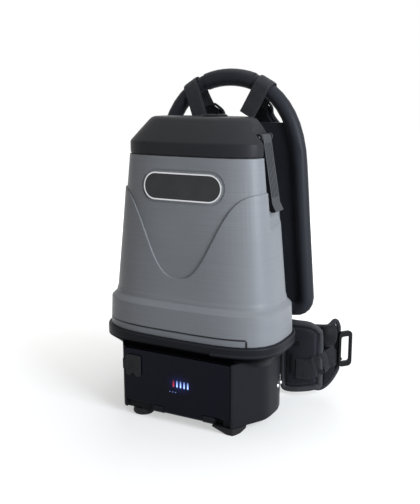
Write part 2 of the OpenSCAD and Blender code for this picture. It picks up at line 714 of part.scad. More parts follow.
inlet_wall = 3;
inlet_foot = tank_z - 6;
module inlet_boss() translate([inlet_x, inlet_y, lid_z + 18])
    cylinder(r = inlet_r + inlet_wall + 3, h = slope_h + rim_h);

module hose_inlet() color([0.12, 0.12, 0.13]) translate([inlet_x, inlet_y, 0]) difference() {
    union() {
        translate([0, 0, inlet_foot]) cylinder(r = inlet_r + inlet_wall, h = lid_top_z - inlet_foot + 1);
        translate([0, 0, lid_top_z]) rotate_extrude() polygon([[inlet_r, 0], [inlet_r + 7, 0],
            [inlet_r + 6, 2.4], [inlet_r + 4, 3.4], [inlet_r, 3.4]]);
    }
    translate([0, 0, inlet_foot - 1]) cylinder(r = inlet_r, h = far);
}

module lid_gasket() color([0.04, 0.04, 0.04]) difference() {
    loft([lid_ring(tank_z + 0.2, 1.4), lid_ring(lid_z, 1.4)]);
    difference() {
        loft([lid_ring(tank_z - 1, 3.2), lid_ring(lid_z + 1, 3.2)]);
        both() latch_recess(3);
    }
    both() latch_recess(0.6);
}

// ---------- dust bag ----------
collar_t = 3;
collar_w = 110;
collar_d = 62;
module bag_collar() color([0.72, 0.62, 0.45])
    translate([inlet_x, inlet_y, inlet_foot - collar_t]) difference() {
        translate([-inlet_x / 2, -8, 0]) slab(collar_w, collar_d, collar_t, 6);
        translate([0, 0, -1]) cylinder(r = inlet_r - 1, h = collar_t + 2);
    }
bag_half = 100;
bag_depth = 42;            // from the bag's middle to its front or rear
bag_y = 12;
bag_foot = deck_z + deck_t + filter_h + 10;
bag_top = inlet_foot - collar_t;
// Height, width and depth of the bag's sections, as shares of the whole
bag_form = [[0, 0.72, 0.48], [0.03, 0.86, 0.67], [0.1, 0.96, 0.86], [0.3, 1, 1], [0.6, 0.98, 1],
    [0.82, 0.92, 0.9], [0.94, 0.74, 0.71], [1, 0.5, 0.52]];
function bag_ring(q) = [for (i = [0:31]) let (t = 360 * i / 32)
    [q[1] * bag_half * power(cos(t), 0.7), bag_y + q[2] * bag_depth * power(sin(t), 0.8),
        bag_foot + (bag_top - bag_foot) * q[0]]];
module dust_bag() color([0.86, 0.83, 0.76]) loft([for (q = bag_form) bag_ring(q)]);

// ---------- latches ----------
latch_ribs = 5;            // grooves along the outer face
groove_r = 1.1;
latch_wall = 3;
module latch_blade() translate([latch_pin_x, latch_y, latch_pin_z]) rotate([0, -latch_lean, 0]) {
    difference() {
        translate([0, latch_w / 2, 0]) rotate([90, 0, 0]) linear_extrude(latch_w) polygon(concat(
            [for (k = [0:12]) let (g = 180 * k / 12) latch_t / 2 * [cos(g), sin(g)]],
            [[-latch_t / 2, -latch_l + 6], [latch_t / 2 - 3, -latch_l], [latch_t / 2 + 4, -latch_l],
                [latch_t / 2 + 4, -latch_l + 2], [latch_t / 2, -latch_l + 14]]));
        // Grooves along the outer face
        for (k = [0:latch_ribs - 1])
            translate([latch_t / 2, (k - (latch_ribs - 1) / 2) * latch_w / (latch_ribs + 1), -latch_l + 24])
            cylinder(r = groove_r, h = latch_l - 34);
        rotate([90, 0, 0]) cylinder(r = pin_r + running, h = latch_w + 2, center = true);
        // Hollow back
        translate([-latch_t / 2 - 1, -latch_w / 2 + latch_wall, -latch_l + 10])
            cube([latch_t - latch_wall, latch_w - 2 * latch_wall, latch_l - 22]);
    }
}
module latch_right() color([0.33, 0.34, 0.35]) latch_blade();
module latch_left() color([0.33, 0.34, 0.35]) mirror([1, 0, 0]) latch_blade();
module latch_pins() color([0.6, 0.6, 0.62]) both()
    translate([latch_pin_x, latch_y - latch_w / 2 - 1 - ear_t, latch_pin_z]) rotate([-90, 0, 0])
        cylinder(r = pin_r, h = latch_w + 2 + 2 * ear_t);

// ---------- back frame ----------
tube_r = tube_d / 2;
foot_half = frame_foot_w / 2 - tube_r;
top_half = frame_top_w / 2 - tube_r;
hip_z = 434;               // height at which the arch turns into the straight sides
foot_bend = 22;            // radius of the bend at the frame's foot
grip_t = 1.4;              // thickness of the sleeve on the arch
grip_end = 0.235;          // the sleeve ends at this share of the arch, next to the loops
arch_top = arch_z - tube_r - grip_t;
function arch_point(t) = bezier([0, arch_top], [0.5 * top_half, arch_top],
    [0.95 * top_half, arch_top - 0.30 * (arch_top - hip_z)], [top_half, hip_z], t);
foot_line = frame_foot_z + tube_r;
function half_path() = concat([for (k = [0:11]) arch_point(k / 12)],
    [for (k = [0:3]) let (s = k / 4) [top_half + (foot_half - top_half) * s,
        hip_z + (foot_line + foot_bend + 4 - hip_z) * s]],
    [for (k = [0:5]) let (g = 90 * k / 5) [foot_half - foot_bend + foot_bend * cos(g),
        foot_line + foot_bend - foot_bend * sin(g)]], [[40, foot_line]]);
right_path = half_path();
frame_path = concat(right_path, [for (i = [len(right_path) - 1:-1:1]) [-right_path[i][0], right_path[i][1]]]);
tube_sides = 12;
function closed_tangent(p, i) = let (n = len(p)) unit(p[(i + 1) % n] - p[(i + n - 1) % n]);
function tube_ring(p, i, r) = let (t = closed_tangent(p, i), out = [t[1], -t[0]])
    [for (k = [0:tube_sides - 1]) let (g = 360 * k / tube_sides)
        [p[i][0] - out[0] * r * cos(g), frame_y - r * sin(g), p[i][1] - out[1] * r * cos(g)]];

function frame_x(z) = lookup(z, [for (i = [11:-1:0]) [right_path[i][1], right_path[i][0]]]);
module window_outline() let (inner = [for (p = right_path) if (p[1] > window_z + 6) p],
    x = frame_x(window_z) - 4) polygon(concat(inner, [[x, window_z], [-x, window_z]],
        [for (i = [len(inner) - 1:-1:1]) [-inner[i][0], inner[i][1]]]));
// Sleeve on the top of the arch, its ends stepping down to the tube
grip_path = [for (k = [-4:4]) let (p = arch_point(abs(k) / 4 * grip_end)) [sign(k) * p[0], p[1]]];
function grip_ring(i, r) = let (t = mid_tangent(grip_path, i), out = [t[1], -t[0]], p = grip_path[i])
    [for (k = [0:tube_sides - 1]) let (g = 360 * k / tube_sides)
        [p[0] - out[0] * r * cos(g), frame_y - r * sin(g), p[1] - out[1] * r * cos(g)]];

module back_frame() color([0.13, 0.135, 0.15]) difference() {
    union() {
        loop_loft([for (i = [0:len(frame_path) - 1]) tube_ring(frame_path, i, tube_r)]);
        loft([for (i = [0:len(grip_path) - 1]) grip_ring(i, tube_r + grip_t)]);
        difference() {
            upright(frame_y - plate_t / 2, plate_t) polygon(frame_path);
            upright(frame_y - tube_d, 2 * tube_d) window_outline();
        }
        // Tab that carries the waist belt
        upright(frame_y - plate_t / 2, plate_t) translate([0, (tab_z + foot_line) / 2])
            polygon(round_rect(tab_w, foot_line - tab_z, 8));
    }
    for (p = bolt_points) translate([p[0], frame_y - tube_d, p[1]]) rotate([-90, 0, 0])
        cylinder(r = bolt_r + 0.3, h = 2 * tube_d);
    both() strap_slot();
}
tab_w = 130;
tab_z = 84;

// Slots for the lower straps
slot_x = 102;
slot_z = 214;
lower_w = 25;
module strap_slot() translate([slot_x, frame_y, slot_z]) cube([lower_w + 6, 3 * plate_t, 9], center = true);

// Brackets between machine and frame, cut to the moulding in front and to plate and tube behind
bolt_r = 3;
bolt_l = 14;               // how far a bolt reaches into its bracket
bolt_x = 22;
bracket_w = 70;
bracket_h = 34;
upper_z = 402;
lower_z = band_z - 4 - bracket_h / 2;
lower_bolt_z = foot_line + tube_r + 9;
bolt_points = [for (z = [upper_z, lower_bolt_z], x = [-bolt_x, bolt_x]) [x, z]];
bracket_back = frame_y - plate_t / 2;
module bracket(z, bolt_z) difference() {
    translate([0, 20, z]) rotate([-90, 0, 0]) slab(bracket_w, bracket_h, bracket_back - 20, 7);
    for (x = [-bolt_x, bolt_x]) translate([x, bracket_back - bolt_l, bolt_z]) rotate([-90, 0, 0])
        cylinder(r = bolt_r + press, h = bolt_l + 1);
    children();
}
// The moulding's outside between two heights, its own facets kept
module seat(low, high, out) loft([form_ring(low, out), form_ring(high, out)]);
module frame_bracket_upper() color([0.1, 0.1, 0.11]) bracket(upper_z, upper_z) {
    difference() {
        seat(waist_z, tank_z, step_t);
        translate([-far / 2, 0, step_line(180)]) cube(far);
    }
    seat(waist_z, tank_z, 0);
}
module frame_bracket_lower() color([0.1, 0.1, 0.11]) bracket(lower_z, lower_bolt_z) {
    seat(skirt_z, band_z - 3, 0);
    translate([-bracket_w, frame_y, foot_line]) rotate([0, 90, 0]) cylinder(r = tube_r, h = 2 * bracket_w);
}
bolt_head = 3;
module frame_bolts() color([0.6, 0.6, 0.62]) for (p = bolt_points)
    translate([p[0], bracket_back - bolt_l + 2, p[1]]) rotate([-90, 0, 0]) {
        cylinder(r = bolt_r, h = bolt_l - 2 + plate_t);
        translate([0, 0, bolt_l - 2 + plate_t]) cylinder(r = bolt_r + 3, h = bolt_head);
    }

// ---------- pads ----------
// Cushion on an upright plate: closed rings up its height, flat towards the plate, crowned behind
hem = 0.6;                 // thickness at a cushion's edge
function crown(u, p) = pow(max(0, 1 - pow(abs(u), p)), 1 / p);
function groove(u) = 0.3 * pow(max(0, 1 - abs(abs(u) - 0.42) * 14), 2);
function cushion_ring(half, t, y, z) = let (n = 16) concat(
    [for (k = [0:n]) let (u = cos(180 * k / n))
        [half * u, y + hem + max(0, t - hem) * crown(u, 4) * (1 - groove(u)), z]],
    [[-half, y, z], [half, y, z]]);
module cushion(w, h, t, y, z0, channels) loft([for (k = [0:24]) let (s = k / 24, v = 2 * s - 1,
    edge = crown(v, 5), dip = pow(max(0, cos(180 * channels * s)), 12) * (s > 0.04 && s < 0.96 ? 1 : 0),
    half = w / 2 * (0.80 + 0.20 * crown(v, 4)))
    cushion_ring(half, max(3, t * (0.18 + 0.82 * edge) * (1 - 0.28 * dip)), y, z0 + h * s)]);

plate_rear = frame_y + plate_t / 2;
module back_pad() color([0.09, 0.09, 0.10]) difference() {
    cushion(back_w, back_h, back_t, plate_rear + fit, back_z, 4);
    for (p = bolt_points) translate([p[0], plate_rear - 1, p[1]]) rotate([-90, 0, 0])
        cylinder(r = bolt_r + 3.6, h = bolt_head + 1.8);
}
back_z = 232;
lumbar_h = 126;
lumbar_z = 18;
module lumbar_pad() color([0.09, 0.09, 0.10])
    cushion(lumbar_w, lumbar_h, lumbar_t, plate_rear + fit, lumbar_z, 3);

// Webbing loops over the arch: flap in front, tail behind down to the pad
loop_gap = fit + web_t / 2 + 0.3;  // the webbing's flat facets come nearer the tube than its course
loop_r = tube_r + loop_gap;
function loop_local(front_l, rear_l) = concat([[-loop_r - 1, -front_l], [-loop_r, -front_l * 0.4]],
    [for (k = [0:8]) let (g = 180 - 22.5 * k) loop_r * [cos(g), sin(g)]],
    [[loop_r + 1, -rear_l * 0.5], [loop_r + loop_tail, -rear_l]]);
function strap_shape(w, t) = [[w / 2, t / 2], [-w / 2, t / 2], [-w / 2, -t / 2], [w / 2, -t / 2]];
module strap_loop(x, tilt, front_l, rear_l) let (c = arch_centre(x), down = [sin(tilt), 0, cos(tilt)],
    path = [for (q = loop_local(front_l, rear_l)) [c[0], frame_y + q[0], c[1]] + down * q[1]],
    wide = [cos(tilt), 0, -sin(tilt)])
    loft(sweep_rings(path, wide, [for (q = path) strap_shape(web_w, web_t)]));
function arch_param(x) = let (f = [for (k = [0:40]) abs(arch_point(k / 40)[0] - x)])
    search(min(f), f)[0] / 40;
function arch_centre(x) = arch_point(arch_param(x));
loop_x = 66;
loop_tilt = 29;
left_x = loop_x + 5;       // the left loop sits a little lower on the arch
left_tilt = loop_tilt + 3;
loop_front = 56;
loop_rear = 38;
loop_tail = 5;             // how far the loop's rear end stands off the tube
module strap_loop_right() color([0.16, 0.16, 0.17]) strap_loop(loop_x, loop_tilt, loop_front, loop_rear);
module strap_loop_left() color([0.16, 0.16, 0.17]) mirror([1, 0, 0])
    strap_loop(left_x, left_tilt, loop_front + 4, loop_rear);

// Shoulder pads: bowed out behind the frame. Their course from the upper end down gives the distance
// from the centre plane, the share of the bow, and the height
pad_bow = 80;
pad_course = [[57, 0.55, 508], [60, 0.78, 450], [68, 0.95, 390], [76, 1, 330], [84, 0.88, 275],
    [92, 0.65, 232]];
pad_seat = [2, 2.6, 6];    // the pad's upper end, seen from the end of the loop it is sewn to
function pad_point(q) = [q[0], frame_y + q[1] * pad_bow, q[2]];
pad_end_point = pad_point(pad_course[len(pad_course) - 1]);
function loop_end(x, tilt) = let (c = arch_centre(x))
    [c[0] - loop_rear * sin(tilt), frame_y + loop_r + loop_tail, c[1] - loop_rear * cos(tilt)];
function pad_path(x, tilt) =
    spline(concat([loop_end(x, tilt) + pad_seat], [for (q = pad_course) pad_point(q)]), 4);
function lens(w, t) = [for (k = [0:15]) let (g = 360 * k / 16)
    [w / 2 * power(cos(g), 0.6), t / 2 * power(sin(g), 0.8)]];
// Share of the full width along the pad, flaring fast at its upper end
function pad_flare(s) = min(1, 0.58 + 5 * s, 0.55 + 2.6 * (1 - s));
// Share of the full thickness: thin ends, and five shallow seams across
function pad_swell(s) = min(1, 0.35 + 5 * min(s, 1 - s)) * (1 - 0.16 * pow(abs(sin(180 * 6 * s)), 8));
function pad_rings(path) = let (n = len(path) - 1) sweep_rings(path, [1, 0, 0],
    [for (i = [0:n]) lens(pad_w * pad_flare(i / n), pad_t * pad_swell(i / n))]);
module shoulder_pad_right() color([0.08, 0.08, 0.09]) loft(pad_rings(pad_path(loop_x, loop_tilt)));
module shoulder_pad_left() color([0.08, 0.08, 0.09]) mirror([1, 0, 0])
    loft(pad_rings(pad_path(left_x, left_tilt)));

// Ladder adjusters under the pads and the straps from them to the frame's foot
adj_h = 26;
adj_lean = 22;
adj_top = pad_end_point + [0, -1, -3];
adj_down = [0, -sin(adj_lean), -cos(adj_lean)];
adj_face = [0, cos(adj_lean), -sin(adj_lean)];
adj_slot = adj_top + 18 * adj_down;
module adjuster() translate(adj_top) rotate([-adj_lean, 0, 0]) difference() {
    translate([0, 0, -adj_h]) slab(36, 5, adj_h, 2);
    for (z = [-8, -18]) translate([0, 0, z]) cube([lower_w + 2, 9, 6], center = true);
}
module adjuster_right() color([0.05, 0.05, 0.05]) adjuster();
module adjuster_left() color([0.05, 0.05, 0.05]) mirror([1, 0, 0]) adjuster();
lower_points = [adj_slot + 7 * adj_face + [0, 0, -52], adj_slot + 7 * adj_face + [0, 0, -16],
    adj_slot + 5 * adj_face + [0, 0, -2], adj_slot, adj_slot - 6 * adj_face + [0, 0, -2],
    [slot_x - 6, plate_rear + 18, slot_z + 2], [slot_x, plate_rear + 4, slot_z + 1],
    [slot_x, frame_y, slot_z], [slot_x, bracket_back - 1.6, slot_z - 4],
    [slot_x, bracket_back - web_t / 2 - fit, slot_z - 12],
    [slot_x, bracket_back - web_t / 2 - fit, slot_z - 24]];
module lower_strap() let (path = spline(lower_points, 3))
    loft(sweep_rings(path, [1, 0, 0], [for (q = path) strap_shape(lower_w, web_t)]));
module lower_strap_right() color([0.13, 0.13, 0.14]) lower_strap();
module lower_strap_left() color([0.13, 0.13, 0.14]) mirror([1, 0, 0]) lower_strap();

// ---------- waist belt ----------
nose_r = 3.8;                  // the wing's rounded edge turns about its own centre
wing_x = lumbar_w / 2 + nose_r - 1.2;
wing_y = plate_rear + 9;
// The wing's course from the hinge, seen from above, relative to it
wing_course = [[0, 0], [14, -0.6], [32, -1], [57, 2], [78, 8.5], [92, 17.5], [100, 26]];
wing_path = [for (p = spline(wing_course, 4)) [wing_x + p[0], wing_y + p[1], 0]];
wing_n = len(wing_path) - 1;
function wing_dir(i) = mid_tangent(wing_path, i);
function wing_out(i) = let (t = wing_dir(i)) [t[1], -t[0], 0];
function raised(p, z) = [p[0], p[1], z];

// Lower and upper edge of the wing along its length: a rise towards the buckle, and a rolled hump before it
wing_low = 12;
wing_high = 140;
function wing_z0(s) = wing_low + 4 * pow(1 - min(1, s / 0.15), 2) + 46 * pow(max(0, s - 0.6) / 0.4, 1.3);
function wing_z1(s) = wing_high + 11 * exp(-pow((s - 0.85) / 0.09, 2)) - 13 * pow(max(0, s - 0.88) / 0.12, 2);
function wing_ring(p, out, s, thick) = let (z0 = wing_z0(s), z1 = wing_z1(s))
    [for (q = lens(z1 - z0, thick)) raised(p + out * q[1], (z0 + z1) / 2 + q[0])];
wing_end_t = 0.6 * wing_t;
// Thickness at a point of the course: full from the hinge on, thinned where the buckle lies on it
function wing_thick(i) = i == 0 ? 2 * nose_r
    : wing_t - (wing_t - wing_end_t) * min(1, max(0, (i - wing_n + 7) / 4));
module wing_pad() loft(concat(
    [for (g = [80, 50, 25])
        wing_ring(wing_path[0] - nose_r * sin(g) * wing_dir(0), wing_out(0), 0, 2 * nose_r * cos(g))],
    [for (i = [0:wing_n]) wing_ring(wing_path[i], wing_out(i), i / wing_n, wing_thick(i))]));
module belt_wing_right() color([0.10, 0.10, 0.11]) wing_pad();
module belt_wing_left() color([0.10, 0.10, 0.11]) mirror([1, 0, 0]) wing_pad();

// Padded cover on the outside of each wing, its corners rounded
cover_n = 15;                  // it ends at this point of the wing's course
cover_low = 8;
cover_high = 148;
function cover_s(i) = (i - 1) / (cover_n - 1);
function cover_thick(i) = cover_t * (0.5 + 0.5 * crown(2 * cover_s(i) - 1, 6));
function cover_z0(s) = cover_low + 10 * pow(1 - min(1, s / 0.18), 2) + 15 * pow(max(0, s - 0.3) / 0.7, 1.6);
function cover_z1(s) = cover_high - 6 * pow(1 - min(1, s / 0.12), 2) - 20 * pow(max(0, s - 0.62) / 0.38, 2.4);
function cover_off(i, k) = wing_t / 2 + fit + cover_thick(i) * k;
module cover_pad() loft([for (i = [1:cover_n]) let (s = cover_s(i), z0 = cover_z0(s), z1 = cover_z1(s))
    [for (q = lens(z1 - z0, cover_thick(i))) raised(wing_path[i] + wing_out(i) * (cover_off(i, 0.5) + q[1]),
        (z0 + z1) / 2 + q[0])]]);
module hip_cover_right() color([0.09, 0.095, 0.105]) cover_pad();
module hip_cover_left() color([0.09, 0.095, 0.105]) mirror([1, 0, 0]) cover_pad();

// Webbing out of the cover, round its edge and up along the wing to the buckle's inner bar
web_from = 8;                  // point of the course where the webbing comes out of the cover
web_turn = 11;                 // point from which it climbs
web_low_z = 57;
belt_zc = 95;
function web_z(i) = web_low_z + (belt_zc - web_low_z) * pow(max(0, i - web_turn) / (wing_n - web_turn), 0.9);
function web_off(i) = web_t / 2 + fit + (i <= cover_n ? cover_off(i, 1)
    : i == cover_n + 1 ? cover_off(cover_n, 0.6) : wing_thick(i) / 2);
module web_band() loft([for (i = [web_from:wing_n]) [for (q = strap_shape(belt_web, web_t))
    raised(wing_path[i] + wing_out(i) * (web_off(i) + q[1]), web_z(i) + q[0])]]);
module belt_web_right() color([0.13, 0.13, 0.14]) web_band();
module belt_web_left() color([0.13, 0.13, 0.14]) mirror([1, 0, 0]) web_band();

// Loop of the buckle, its inner bar on the webbing at the wing's end
buckle_w = 28;
buckle_t = 6;
buckle_side = 5;               // width of the upright bars
buckle_cap = 10;               // height of the upper and lower bars
buckle_lap = 8;                // how far the loop reaches back over the wing
buckle_root = wing_path[wing_n] - buckle_lap * wing_dir(wing_n)
    + wing_out(wing_n) * (wing_end_t / 2 + web_t + buckle_t / 2 + 2 * fit + 0.2);
buckle_turn = atan2(wing_dir(wing_n)[1], wing_dir(wing_n)[0]);
buckle_h = belt_web + 10 + 2 * buckle_cap;
module buckle() translate(raised(buckle_root, belt_zc)) rotate([0, 0, buckle_turn])
    translate([buckle_w / 2, 0, 0]) rotate([90, 0, 0]) translate([0, 0, -buckle_t / 2])
        linear_extrude(buckle_t) difference() {
            polygon(round_rect(buckle_w, buckle_h, 8));
            polygon(round_rect(buckle_w - 2 * buckle_side, buckle_h - 2 * buckle_cap, 4));
        }
module belt_buckle_right() color([0.06, 0.06, 0.07]) buckle();
module belt_buckle_left() color([0.06, 0.06, 0.07]) mirror([1, 0, 0]) buckle();

// The part's depth runs from the lip to the shoulder pads; this centres it on the origin
depth_front = skirt_front + lip_over;
depth_rear = max([for (r = pad_rings(pad_path(loop_x, loop_tilt)), p = r) p[1]]);
shift_y = (depth_front - depth_rear) / 2;
module placed() translate([0, shift_y, 0]) children();

placed() base_housing();
placed() body_shell();
placed() skirt_trim();
placed() badge_bezel();
placed() badge_plate();
placed() motor_deck();
placed() motor_filter();
placed() motor_unit();
placed() inlet_seal();
placed() motor_cradle();
placed() control_board();
placed() battery_terminals();
placed() battery_pack();
placed() exhaust_filter();
placed() foot_front_left();
placed() foot_front_right();
placed() feet_rear();
placed() side_rivets();
placed() battery_door();
placed() door_latch();
placed() status_lights();
placed() door_pin();
placed() lid_shell();
placed() lid_gasket();
placed() hose_inlet();
placed() bag_collar();
placed() dust_bag();
placed() latch_right();
placed() latch_left();
placed() latch_pins();
placed() back_frame();
placed() frame_bracket_upper();
placed() frame_bracket_lower();
placed() frame_bolts();
placed() back_pad();
placed() lumbar_pad();
placed() strap_loop_right();
placed() strap_loop_left();
placed() shoulder_pad_right();
placed() shoulder_pad_left();
placed() adjuster_right();
placed() adjuster_left();
placed() lower_strap_right();
placed() lower_strap_left();
placed() belt_wing_right();
placed() belt_wing_left();
placed() hip_cover_right();
placed() hip_cover_left();
placed() belt_web_right();
placed() belt_web_left();
placed() belt_buckle_right();
placed() belt_buckle_left();
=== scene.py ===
import json
import math

import bmesh
import bpy
import numpy as np
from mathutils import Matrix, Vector
from mathutils.bvhtree import BVHTree

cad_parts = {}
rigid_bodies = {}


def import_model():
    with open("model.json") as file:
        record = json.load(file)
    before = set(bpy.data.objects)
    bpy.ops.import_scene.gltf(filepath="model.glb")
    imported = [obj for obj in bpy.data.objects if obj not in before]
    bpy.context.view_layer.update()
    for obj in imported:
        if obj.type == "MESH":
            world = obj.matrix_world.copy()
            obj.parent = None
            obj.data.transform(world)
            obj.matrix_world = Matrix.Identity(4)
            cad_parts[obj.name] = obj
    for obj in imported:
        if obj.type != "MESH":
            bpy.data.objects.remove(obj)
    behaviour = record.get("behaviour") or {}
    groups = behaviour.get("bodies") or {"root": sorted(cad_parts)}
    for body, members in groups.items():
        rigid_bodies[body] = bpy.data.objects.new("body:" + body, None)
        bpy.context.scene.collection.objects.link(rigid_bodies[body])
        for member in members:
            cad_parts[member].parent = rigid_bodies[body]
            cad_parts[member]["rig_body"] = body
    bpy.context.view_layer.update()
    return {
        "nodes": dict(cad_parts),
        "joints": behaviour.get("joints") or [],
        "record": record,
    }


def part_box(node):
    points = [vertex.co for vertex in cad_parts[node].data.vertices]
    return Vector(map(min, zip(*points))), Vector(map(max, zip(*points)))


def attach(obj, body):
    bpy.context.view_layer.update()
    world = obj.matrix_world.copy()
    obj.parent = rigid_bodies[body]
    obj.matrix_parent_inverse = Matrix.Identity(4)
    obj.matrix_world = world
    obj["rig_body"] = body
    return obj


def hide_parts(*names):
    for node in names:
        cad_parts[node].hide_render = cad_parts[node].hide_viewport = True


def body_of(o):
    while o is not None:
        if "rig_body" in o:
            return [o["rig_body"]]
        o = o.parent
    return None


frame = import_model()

# Backpack vacuum cleaner: materials, cushions, webbing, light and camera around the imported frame.
# Metres, in the frame's own axes: -Y is the machine's front, +X its right seen from there, +Z up.

joints = {j["name"]: j for j in frame["joints"]}
MM = 0.001
# The machine's centre plane in depth: the door's hinge lies 95 mm ahead of it
CENTRE_Y = joints["door_swing"]["pos_m"][1] + 95 * MM
scene = bpy.context.scene


# ---------- camera ----------
PHOTO_W, PHOTO_H = 420, 504
FOCAL_PX = 740.99            # focal length in the photograph's pixels
CENTRE_PX = 217.19           # column of the photograph that the optical axis meets
CAMERA_AT = (0.6045, -1.1244, 0.5669)      # from the machine's centre line on the floor
CAMERA_TO = (0.02847, 0.0, 0.28786)


def make_camera():
    data = bpy.data.cameras.new("camera")
    data.sensor_width = 36.0
    data.lens = FOCAL_PX / PHOTO_H * data.sensor_width
    data.shift_x = (PHOTO_W / 2 - CENTRE_PX) / PHOTO_H
    data.clip_start, data.clip_end = 0.05, 30.0
    camera = bpy.data.objects.new("camera", data)
    scene.collection.objects.link(camera)
    depth = Vector((0, CENTRE_Y, 0))
    camera.location = Vector(CAMERA_AT) + depth
    aim = Vector(CAMERA_TO) + depth - camera.location
    camera.rotation_euler = aim.to_track_quat("-Z", "Y").to_euler()
    scene.camera = camera


make_camera()


# ---------- materials ----------
class Look:
    """A node material in the making: noises and waves that feed its colour, roughness and bump."""

    def __init__(self, name, color, roughness, metallic=0.0, specular=0.5, sheen=0.0):
        self.mat = bpy.data.materials.new(name)
        self.mat.use_nodes = True
        self.tree = self.mat.node_tree
        self.bsdf = self.tree.nodes["Principled BSDF"]
        self.set(Base_Color=(*color, 1), Roughness=roughness, Metallic=metallic,
                 Specular_IOR_Level=specular, Sheen_Weight=sheen)
        self.object_space = self.add("ShaderNodeTexCoord").outputs["Object"]

    def set(self, **values):
        """Sets values of the shader. An underscore stands for each space in their names."""
        for key, value in values.items():
            self.bsdf.inputs[key.replace("_", " ")].default_value = value

    def add(self, kind, **values):
        node = self.tree.nodes.new(kind)
        for key, value in values.items():
            setattr(node, key, value)
        return node

    def link(self, a, b):
        self.tree.links.new(a, b)

    def feed(self, node, **values):
        """Gives a node's inputs their values, or links them to other nodes' outputs."""
        for key, value in values.items():
            socket = node.inputs[key.replace("_", " ")]
            if isinstance(value, bpy.types.NodeSocket):
                self.link(value, socket)
            else:
                socket.default_value = value
        return node

    def stretched(self, scale):
        """Object space with its axes scaled."""
        node = self.add("ShaderNodeMapping")
        self.feed(node, Vector=self.object_space, Scale=scale)
        return node.outputs["Vector"]

    def noise(self, scale, detail=3.0, vector=None):
        node = self.add("ShaderNodeTexNoise")
        self.feed(node, Vector=vector or self.object_space, Scale=scale, Detail=detail)
        return node.outputs["Fac"]

    def cells(self, scale):
        node = self.add("ShaderNodeTexVoronoi")
        self.feed(node, Vector=self.object_space, Scale=scale)
        return node.outputs["Distance"]

    def math(self, operation, a, b=0.0):
        node = self.add("ShaderNodeMath", operation=operation)
        for socket, value in zip(node.inputs, (a, b)):
            if isinstance(value, bpy.types.NodeSocket):
                self.link(value, socket)
            else:
                socket.default_value = value
        return node.outputs["Value"]

    def radius(self, a, b, weight=1.0):
        """Length of the vector (a, b), the square of b having a weight."""
        b_squared = self.math("MULTIPLY", self.math("MULTIPLY", b, b), weight)
        return self.math("SQRT", self.math("ADD", self.math("MULTIPLY", a, a), b_squared))

    def ranged(self, value, low, high, from_low=0.0, from_high=1.0):
        """low to high while the value goes from from_low to from_high, and held beyond them."""
        node = self.add("ShaderNodeMapRange")
        self.feed(node, Value=value, From_Min=from_low, From_Max=from_high, To_Min=low, To_Max=high)
        return node.outputs["Result"]

    def between(self, value, low, high, soft):
        """1 where a value lies between two others, with soft ends."""
        return self.math("MULTIPLY", self.ranged(value, 0.0, 1.0, low - soft, low),
                         self.ranged(value, 1.0, 0.0, high, high + soft))

    def rounded(self, radius):
        """Lets every edge catch the light as if it were rounded to that radius; comes before any bump."""
        node = self.add("ShaderNodeBevel", samples=6)
        self.feed(node, Radius=radius)
        self.link(node.outputs["Normal"], self.bsdf.inputs["Normal"])

    def split(self, vector):
        node = self.add("ShaderNodeSeparateXYZ")
        self.link(vector, node.inputs[0])
        return node.outputs["X"], node.outputs["Y"], node.outputs["Z"]

    def position(self):
        return self.split(self.object_space)

    def tint(self, factor, other, of="Base Color"):
        """Mixes the colour so far with another one by a factor."""
        node = self.add("ShaderNodeMix", data_type="RGBA")
        socket = self.bsdf.inputs[of]
        if socket.links:
            self.link(socket.links[0].from_socket, node.inputs[6])
        else:
            node.inputs[6].default_value = socket.default_value
        node.inputs[7].default_value = (*other, 1)
        self.link(factor, node.inputs[0])
        self.link(node.outputs[2], socket)

    def mottle(self, pattern, other, most, low=0.45, high=0.75):
        """Mixes the colour with another one, by a share that goes from 0 to most while a pattern's value
        goes from low to high."""
        self.tint(self.ranged(pattern, 0.0, most, low, high), other)

    def rough(self, factor, low, high):
        """Roughness from low to high by a factor."""
        self.link(self.ranged(factor, low, high), self.bsdf.inputs["Roughness"])

    def bump(self, height, distance):
        """Adds a bump of that depth in metres on top of those before it."""
        node = self.add("ShaderNodeBump")
        self.feed(node, Height=height, Distance=distance, Strength=1.0)
        socket = self.bsdf.inputs["Normal"]
        if socket.links:
            self.link(socket.links[0].from_socket, node.inputs["Normal"])
        self.link(node.outputs["Normal"], socket)


def scaled(color, k):
    """A colour made k times as bright."""
    return tuple(min(1.0, c * k) for c in color)


def moulded(name, color, roughness, grain=0.00003, specular=0.12, spots=0.12, edge=1.8):
    """Injection-moulded plastic with its grain's depth in metres, its clouds lighter by the share spots,
    fine darker specks and its edges rounded to a radius in mm."""
    look = Look(name, color, roughness, specular=specular)
    if edge:
        look.rounded(edge * MM)
    look.mottle(look.noise(9.0, 4.0), scaled(color, 1.0 + spots), 1.0, 0.35)
    look.mottle(look.noise(900.0, 2.0), scaled(color, 0.82), 0.35, 0.55, 0.8)
    look.rough(look.noise(26.0, 5.0), roughness - 0.06, roughness + 0.08)
    look.bump(look.noise(1500.0, 2.0), grain)
    return look


def tank_plastic():
    look = moulded("tank_plastic", (0.198, 0.203, 0.218), 0.44, grain=0.00005, specular=0.3, edge=2.4)
    # Long horizontal flow marks of the moulding
    look.bump(look.noise(5.0, 4.0, look.stretched((1.0, 1.0, 42.0))), 0.00014)
    look.mottle(look.noise(7.0, 5.0, look.stretched((1.0, 1.0, 90.0))), (0.180, 0.185, 0.199), 0.8)
    return look.mat


# Heights on the casing: its flare out to the lip, and the lip's lower and upper edge
FLARE = (0.127, 0.1365)
LIP_EDGES = ((0.1405, 0.1417), (0.1522, 0.1532))


